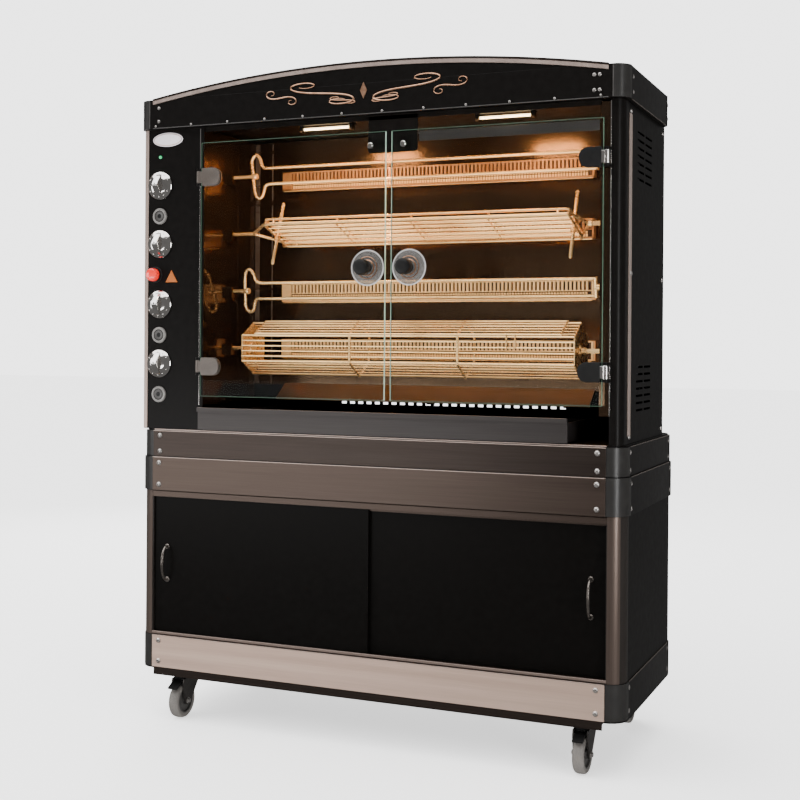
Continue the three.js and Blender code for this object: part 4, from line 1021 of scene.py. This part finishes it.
def glass_clamp(level, side):
    low, high = corners(f"clamp_{level}_{side}")
    hinge = pivot(f"glass_door_{side}_hinge")
    inward = 1 if side == "left" else -1
    z = (low.z + high.z) / 2
    body = f"glass_door_{side}"
    finish = "clamp_taupe" if side == "left" else "black_plastic"
    plates = Builder()
    for y0, y1 in ((GLASS_LOW.y - 5.3, GLASS_LOW.y - 0.3), (GLASS_HIGH.y + 0.3, GLASS_HIGH.y + 4.3)):
        outline = []
        near, far, corner = 15, 48, 22
        for cx, cz, radius, start in ((far, -3, corner, -90), (far, 3, corner, 0), (near, 22, 3, 90),
            (near, -22, 3, 180)):
            round_corner = arc((cx, cz), radius, start, start + 90, 6)
            outline += [(hinge.x + inward * x, z + height) for x, height in round_corner]
        plates.prism(outline, (y0, y1), "y")
    plates.finish(f"clamp_plates_{level}_{side}", finish, "black_plastic", body,
        replaces=[f"clamp_{level}_{side}"], bevel=1.2)
    link = Builder()
    link.turned([(0, -17), (7.2, -17), (8, -16), (8, 16), (7.2, 17), (0, 17)], (hinge.x, hinge.y, z),
        (0, 0, 1), 32)
    xs = sorted((hinge.x + inward * 4, hinge.x + inward * 14))
    link.slab((xs[0], GLASS_LOW.y - 4.5, z - 15), (xs[1], GLASS_LOW.y - 0.8, z + 15))
    link.finish(f"clamp_knuckle_{level}_{side}", "chrome" if side == "right" else "clamp_taupe", "chrome",
        body, bevel=0.5)


for side in ("left", "right"):
    door_knob(side)
    for level in ("upper", "lower"):
        glass_clamp(level, side)
glass_trim()


# ---------------------------------------------------------------- cavity, burners and lamps


def burner(index):
    low, high = corners(f"burner_{index}")
    # The two lower burners take the lighter, more glowing copy of the metal: painted light.
    metal = "burner_metal" if index < 3 else "burner_painted_light"
    case = Builder()
    middle = high.z - 28
    front = low.y
    case.slab((low.x, front + 9, low.z + 1), (high.x, high.y, high.z - 1))
    case.slab((low.x, front, high.z - 4), (high.x, high.y, high.z))
    case.slab((low.x, front, low.z), (high.x, high.y, low.z + 4))
    case.slab((low.x, front, middle - 3), (high.x, front + 10, middle))
    case.slab((low.x, front, low.z), (low.x + 30, high.y, high.z))
    case.slab((high.x - 6, front, low.z), (high.x, high.y, high.z))
    case.finish(f"burner_case_{index}", metal, "burner_metal", replaces=[f"burner_{index}"], bevel=0.6)
    pitch = 11.5
    count = int((high.x - low.x - 38) / pitch)
    # A dark backing behind the ribs: painted shade in the slits between them.
    backing = Builder()
    backing.slab((low.x + 30, front + 6.5, low.z + 4), (high.x - 6, front + 9, high.z - 4))
    backing.finish(f"burner_backing_{index}", "burner_slit_shade", "burner_metal")
    ribs = Builder()
    dots = Builder()
    for i in range(count):
        x = low.x + 35 + i * pitch
        ribs.slab((x, front + 1, middle), (x + 5.5, front + 6, high.z - 4))
    for i in range(int((high.x - low.x - 42) / 8)):
        x = low.x + 34 + i * 8
        dots.slab((x, front + 2, low.z + 5), (x + 5, front + 6, low.z + 13))
        dots.slab((x, front + 3, low.z + 15.5), (x + 5, front + 6, low.z + 20))
    ribs.finish(f"burner_ribs_{index}", metal, "burner_metal")
    dots.finish(f"burner_dots_{index}", "burner_mesh", "burner_metal")
    rail = Builder()
    rail.tube([(low.x + 6, front - 3, low.z - 3), (high.x - 4, front - 3, low.z - 3)], 1.6, 8)
    rail.finish(f"burner_rail_{index}", "wire_steel", "wire_steel")


def roof():
    """The cavity's roof and, in its middle, the rounded plate that the two magnetic catches sit on."""
    low, high = corners("roof_panel")
    panel = Builder()
    panel.slab((low.x, low.y, high.z - 3), (high.x, high.y, high.z))
    panel.slab((low.x, low.y, high.z - 14), (high.x, low.y + 2, high.z - 3))
    x0, x1, bottom, radius = 5, 148, 1590, 9
    outline = [(x1, high.z - 2), (x0, high.z - 2)]
    for centre_x, start in ((x0 + radius, 180), (x1 - radius, 270)):
        outline += arc((centre_x, bottom + radius), radius, start, start + 90, 8)
    panel.prism(outline, (low.y, low.y + 3), "y")
    panel.finish("cavity_roof", "inner_black", "black_paint", replaces=["roof_panel"], bevel=0.5)
    shade = Builder()
    shade.slab((x1 + 4, low.y, high.z - 76), (high.x - 6, low.y + 1.5, high.z - 50))
    shade.finish("roof_shade", "tray_metal", "dark_steel", bevel=0.4)


def cavity_trim():
    strips = Builder()
    back = corners("burner_wall")[1].y - 3
    bottom, top = 960, CAVITY_TOP - 4
    strips.slab((CAVITY_LEFT + 2, back - 3, bottom), (CAVITY_LEFT + 16, back, top))
    strips.slab((CAVITY_LEFT + 58, back - 2, bottom), (CAVITY_LEFT + 61, back, top))
    strips.slab((CAVITY_RIGHT - 14, back - 3, bottom), (CAVITY_RIGHT - 2, back, top))
    strips.finish("cavity_corner_strips", "lip_metal", "inner_steel", bevel=0.4)
    lip = Builder()
    wall = corners("burner_wall")[0]
    lip.slab((BURNER_LOW.x, wall.y - 1.5, wall.z), (BURNER_HIGH.x, wall.y, wall.z + 6))
    outline = [(wall.y, wall.z + 3.2), (back + 2, bottom - 0.5), (back + 2, bottom + 3),
        (wall.y - 1.2, wall.z + 6)]
    lip.prism(outline, (BURNER_LOW.x + 1, BURNER_HIGH.x - 1), "x")
    lip.finish("reflector_face", "reflector", "inner_steel")


def lamp(side):
    low, high = corners(f"lamp_{side}")
    y = (low.y + high.y) / 2
    z = low.z + 9
    tube = Builder()
    tube.tube([(low.x + 10, y, z), (high.x - 10, y, z)], 3.6, 20)
    tube.finish(f"lamp_tube_{side}", "lamp_glow", "lamp_glass", replaces=[f"lamp_{side}"])
    cover = Builder()
    cover.slab((low.x, low.y, high.z - 4), (high.x, high.y, high.z))
    for x in (low.x, high.x - 9):
        cover.slab((x, y - 10, z - 9), (x + 9, y + 10, high.z - 3))
    cover.finish(f"lamp_housing_{side}", "inner_black", "inner_steel", bevel=0.8)
    return Vector(((low.x + high.x) / 2, y, z - 10))


for number in range(1, 5):
    burner(number)
roof()
cavity_trim()
LAMP_PLACES = [lamp("left"), lamp("right")]


# ---------------------------------------------------------------- spits and baskets


def spin_point(row, angle):
    """Turns across and rise in a spit's own plane into the frame."""
    axis = SPIT_ROWS[row]

    def at(x, across, rise):
        return (x, axis.y + across * math.cos(angle) - rise * math.sin(angle),
            axis.z + across * math.sin(angle) + rise * math.cos(angle))

    return at


def spit_ends(builder, row, left_from, right_from):
    axis = SPIT_ROWS[row]
    left, right = SPIT_ENDS
    builder.tube([(left, axis.y, axis.z), (left_from, axis.y, axis.z)], 5, 16)
    builder.slab((right_from, axis.y - 5.8, axis.z - 5.8), (right - 1, axis.y + 5.8, axis.z + 5.8))
    builder.turned([(0, 0), (9, 0), (10, 1), (10, 9), (9, 10), (0, 10)], (right_from + 4, axis.y, axis.z),
        (1, 0, 0), 24)


def fork_spit(name, row, angle, left):
    at = spin_point(row, angle)
    rise = 23
    wire = 4.5
    right = 594
    fork = Builder()
    loop = [(right, 0, rise), (left + 10, 0, rise), (left - 8, 0, rise + 1), (left - 17, 0, rise + 10),
        (left - 22, 0, rise + 26), (left - 31, 0, rise + 38), (left - 42, 0, rise + 37),
        (left - 50, 0, rise + 22), (left - 48, 0, rise), (left - 45, 0, -4), (left - 42, 0, -30),
        (left - 37, 0, -52), (left - 28, 0, -63), (left - 17, 0, -61), (left - 10, 0, -47),
        (left - 6, 0, -32), (left + 2, 0, -rise - 2), (left + 14, 0, -rise), (right, 0, -rise)]
    path = smooth_path([at(*point) for point in loop[1:-1]], 6)
    fork.tube([at(*loop[0]), *path, at(*loop[-1])], wire, 14)
    fork.tube([at(right, 0, -rise - 4), at(right, 0, rise + 4)], 6.5, 16)
    axis = SPIT_ROWS[row]
    fork.turned([(0, 0), (8, 0), (9, 1.5), (9, 10.5), (8, 12), (0, 12)], (left - 44, axis.y, axis.z),
        (1, 0, 0), 24)
    spit_ends(fork, row, left - 42, right - 2)
    fork.finish(f"{name}_wire", "wire_steel", "wire_steel", f"{name}_body", replaces=[name])


def flat_basket():
    at = spin_point(1, math.radians(-20))
    left, right = -350, 540
    half = 75
    spread = 8
    work = Builder()
    for rise in (-spread, spread):
        corner = 10
        rim = [(left, -half + corner, rise), (left + 3, -half + 3, rise), (left + corner, -half, rise),
            (right - corner, -half, rise), (right - 3, -half + 3, rise), (right, -half + corner, rise),
            (right, half - corner, rise), (right - 3, half - 3, rise), (right - corner, half, rise),
            (left + corner, half, rise), (left + 3, half - 3, rise), (left, half - corner, rise),
            (left, -half + corner, rise)]
        work.tube([at(*point) for point in rim], 3.8, 10)
        for i in range(1, 6):
            across = -half + i * 2 * half / 6
            work.tube([at(left, across, rise), at(right, across, rise)], 2.4, 8)
        for i in range(1, 4):
            x = left + i * (right - left) / 4
            work.tube([at(x, -half, rise), at(x, half, rise)], 2.0, 8)
    for side in (-1, 1):
        work.tube([at(left - 75, 0, 0), at(left + 4, side * half * 0.95, 0)], 4.2, 12)
        work.tube([at(right + 35, 0, 0), at(right - 4, side * half * 0.95, 0)], 4.2, 12)
        for x in (left + 30, right - 30):
            work.tube([at(x, side * half, -spread), at(x, side * half, spread)], 3.2, 10)
    spit_ends(work, 1, left - 68, right + 30)
    work.finish("flat_basket_wire", "wire_steel", "wire_steel", "flat_basket_body", replaces=["flat_basket"])
    pins = Builder()
    reach = 98
    for x in (left + 6, right - 6):
        path = [at(x, 0, -reach), at(x, 0, -reach + 4), at(x, 0, reach - 4), at(x, 0, reach)]
        pins.tube(path, [2.0, 4.8, 4.8, 2.0], 16)
        for rise in (-spread - 9, spread + 9):
            low_point, high_point = at(x, 0, rise - 4), at(x, 0, rise + 4)
            pins.tube([low_point, high_point], 8.5, 18)
    pins.finish("flat_basket_pins", "wire_steel", "wire_steel", "flat_basket_body")


DRUM_RADIUS = 76
DRUM_LEFT = -424
DRUM_RIGHT = 555
DRUM_RINGS = (-83, 235)
LID_SPAN = (-380, 520)
WIRES_PER_SIDE = 5


def hex_point(index, radius):
    axis = SPIT_ROWS[3]
    angle = math.radians(90 + 60 * index)
    return Vector((axis.y + radius * math.cos(angle), axis.z + radius * math.sin(angle)))


def along_side(index, part, radius):
    return hex_point(index, radius).lerp(hex_point(index + 1, radius), part)


def drum_basket():
    cage = Builder()
    radius = DRUM_RADIUS - 3
    for side in range(6):
        steps = range(WIRES_PER_SIDE) if side else range(1)
        for step in steps:
            y, z = along_side(side, step / WIRES_PER_SIDE, radius)
            wire = 2.8 if step == 0 else 2.0
            cage.tube([(DRUM_LEFT, y, z), (DRUM_RIGHT, y, z)], wire, 8)
    for x in DRUM_RINGS:
        ring = [(x, *hex_point(i, radius + 3)) for i in range(1, 7)]
        cage.tube(ring, 3.2, 10)
    spit_ends(cage, 3, DRUM_LEFT, DRUM_RIGHT)
    cage.finish("drum_cage", "wire_steel", "wire_steel", "drum_basket_body", replaces=["drum_basket"])
    plates = Builder()
    outline = [hex_point(i, DRUM_RADIUS - 2) for i in range(6)]
    for x in (DRUM_LEFT, DRUM_RIGHT):
        plates.prism(outline, (x - 1.5, x + 1.5), "x")
        plates.turned([(0, -5), (18, -5), (20, -3), (20, 3), (18, 5), (0, 5)], (x, SPIT_Y, SPIT_ROWS[3].z),
            (1, 0, 0), 32)
    plates.finish("drum_end_plates", "wire_steel", "wire_steel", "drum_basket_body", bevel=0.5)


def drum_lid():
    lid = Builder()
    radius = DRUM_RADIUS + 4
    left, right = LID_SPAN
    for step in range(WIRES_PER_SIDE + 1):
        y, z = along_side(0, 0.06 + 0.88 * step / WIRES_PER_SIDE, radius)
        lid.tube([(left, y, z), (right, y, z)], 2.4 if step in (0, WIRES_PER_SIDE) else 1.7, 8)
    for x in (left, *DRUM_RINGS, right):
        start, end = along_side(0, 0.03, radius), along_side(0, 0.97, radius)
        lid.tube([(x, *start), (x, *end)], 2.3, 10)
    start = along_side(0, 0.94, radius)
    latch = []
    for dx, down in ((372, 0), (372, 30), (376, 36), (392, 36), (396, 30), (396, 0)):
        latch.append((dx, start.x - 1.5, start.y - down))
    lid.tube(smooth_path(latch, 5), 2.1, 10)
    lid.finish("drum_lid_wire", "wire_steel", "wire_steel", "drum_lid_body", replaces=["drum_lid"])


fork_spit("fork_spit_top", 0, 0, -382)
fork_spit("fork_spit_lower", 2, math.radians(195), -406)
flat_basket()
drum_basket()
drum_lid()


# ---------------------------------------------------------------- drip tray


def tray_lip():
    low, high = corners("drip_tray")
    lip = Builder()
    lip.tube([(low.x + 2, low.y + 3, high.z - 2), (high.x - 2, low.y + 3, high.z - 2)], 3, 12)
    lip.finish("drip_tray_lip", "lip_metal", "tray_metal", "drip_tray_body")


tray_lip()


# ---------------------------------------------------------------- floor, light and camera


ROOM_LIGHT = 0.15
WALL_BRIGHTNESS = 3.4


def studio():
    bpy.ops.mesh.primitive_plane_add(size=60)
    floor = bpy.context.object
    floor.name = "studio_floor"
    material = bpy.data.materials.new("studio_floor")
    material.use_nodes = True
    shader = material.node_tree.nodes["Principled BSDF"]
    shader.inputs["Base Color"].default_value = (0.93, 0.93, 0.93, 1)
    shader.inputs["Roughness"].default_value = 0.8
    shader.inputs["Specular IOR Level"].default_value = 0.1
    shader.inputs["Emission Color"].default_value = (1, 1, 1, 1)
    shader.inputs["Emission Strength"].default_value = 1.2
    floor.data.materials.append(material)
    floor.visible_glossy = False
    world = bpy.data.worlds.new("studio")
    bpy.context.scene.world = world
    world.use_nodes = True
    tree = world.node_tree
    sky = tree.nodes["Background"]
    sky.inputs["Color"].default_value = (1.0, 0.99, 0.98, 1)
    sky.inputs["Strength"].default_value = ROOM_LIGHT
    wall = tree.nodes.new("ShaderNodeBackground")
    wall.inputs["Color"].default_value = (1, 1, 1, 1)
    wall.inputs["Strength"].default_value = WALL_BRIGHTNESS
    ray = tree.nodes.new("ShaderNodeLightPath")
    mix = tree.nodes.new("ShaderNodeMixShader")
    tree.links.new(ray.outputs["Is Camera Ray"], mix.inputs["Fac"])
    tree.links.new(sky.outputs["Background"], mix.inputs[1])
    tree.links.new(wall.outputs["Background"], mix.inputs[2])
    tree.links.new(mix.outputs["Shader"], tree.nodes["World Output"].inputs["Surface"])


def area_light(name, place, target, size, power, colour=(1, 1, 1), depth=None):
    """A rectangular light. Place, target and size are in metres, power in watts."""
    data = bpy.data.lights.new(name, "AREA")
    data.shape = "RECTANGLE"
    data.size = size
    data.size_y = depth or size
    data.energy = power
    data.color = colour
    lamp_object = bpy.data.objects.new(name, data)
    bpy.context.scene.collection.objects.link(lamp_object)
    lamp_object.location = place
    lamp_object.rotation_euler = (Vector(target) - Vector(place)).to_track_quat("-Z", "Y").to_euler()
    lamp_object.visible_camera = False
    lamp_object.visible_transmission = False
    return lamp_object


def sun_light(name, towards, strength, spread):
    """A broad light with parallel rays, so the floor stays even out to the horizon."""
    data = bpy.data.lights.new(name, "SUN")
    data.energy = strength
    data.angle = math.radians(spread)
    sun = bpy.data.objects.new(name, data)
    bpy.context.scene.collection.objects.link(sun)
    sun.rotation_euler = Vector(towards).to_track_quat("-Z", "Y").to_euler()


def lights():
    sun_light("overhead_light", (0.25, 0.25, -1), 6.5, 90)
    area_light("key_light", (-3.7, -2.4, 1.3), (0, 0, 0.9), 1.2, 27)
    area_light("low_front_light", (-2.2, -3.8, 0.38), (-0.1, 0, 0.4), 2.6, 30, depth=0.5)
    area_light("corner_light", (3.1, -2.3, 1.1), (0.7, -0.26, 1.0), 0.5, 52, depth=2.0)
    area_light("back_light", (-2.6, 3.6, 2.4), (0, 0.2, 0.9), 2.0, 90)
    warm = (1.0, 0.56, 0.24)
    for i, place in enumerate(LAMP_PLACES):
        x, y, z = place * MM
        area_light(f"oven_lamp_{i + 1}", (x, y, z), (x, y + 0.06, z - 1), 0.14, 3, warm, 0.02)
    centre_x = (BURNER_LOW.x + BURNER_HIGH.x) / 2 * MM
    top = (CAVITY_TOP - 22) * MM
    front = (GLASS_HIGH.y + 30) * MM
    glow = area_light("cavity_light", (centre_x, front, top), (centre_x, 0, 1.1), 1.0, 12, warm, 0.02)
    glow.visible_glossy = False


def camera():
    data = bpy.data.cameras.new("camera")
    view = bpy.data.objects.new("camera", data)
    bpy.context.scene.collection.objects.link(view)
    yaw = math.radians(23.25)
    pitch = math.radians(0.07)
    roll = math.radians(0.41)
    back = Vector((math.sin(yaw) * math.cos(pitch), -math.cos(yaw) * math.cos(pitch), math.sin(pitch)))
    right = (-back).cross(Vector((0, 0, 1))).normalized()
    up = right.cross(-back)
    right_rolled = math.cos(roll) * right + math.sin(roll) * up
    up_rolled = -math.sin(roll) * right + math.cos(roll) * up
    turn = Matrix((right_rolled, up_rolled, back)).transposed()
    view.matrix_world = Matrix.Translation((1.451, -3.395, 1.080)) @ turn.to_4x4()
    data.sensor_width = 36
    data.lens = 58.1
    data.shift_y = -0.0676
    bpy.context.scene.camera = view


studio()
lights()
camera()
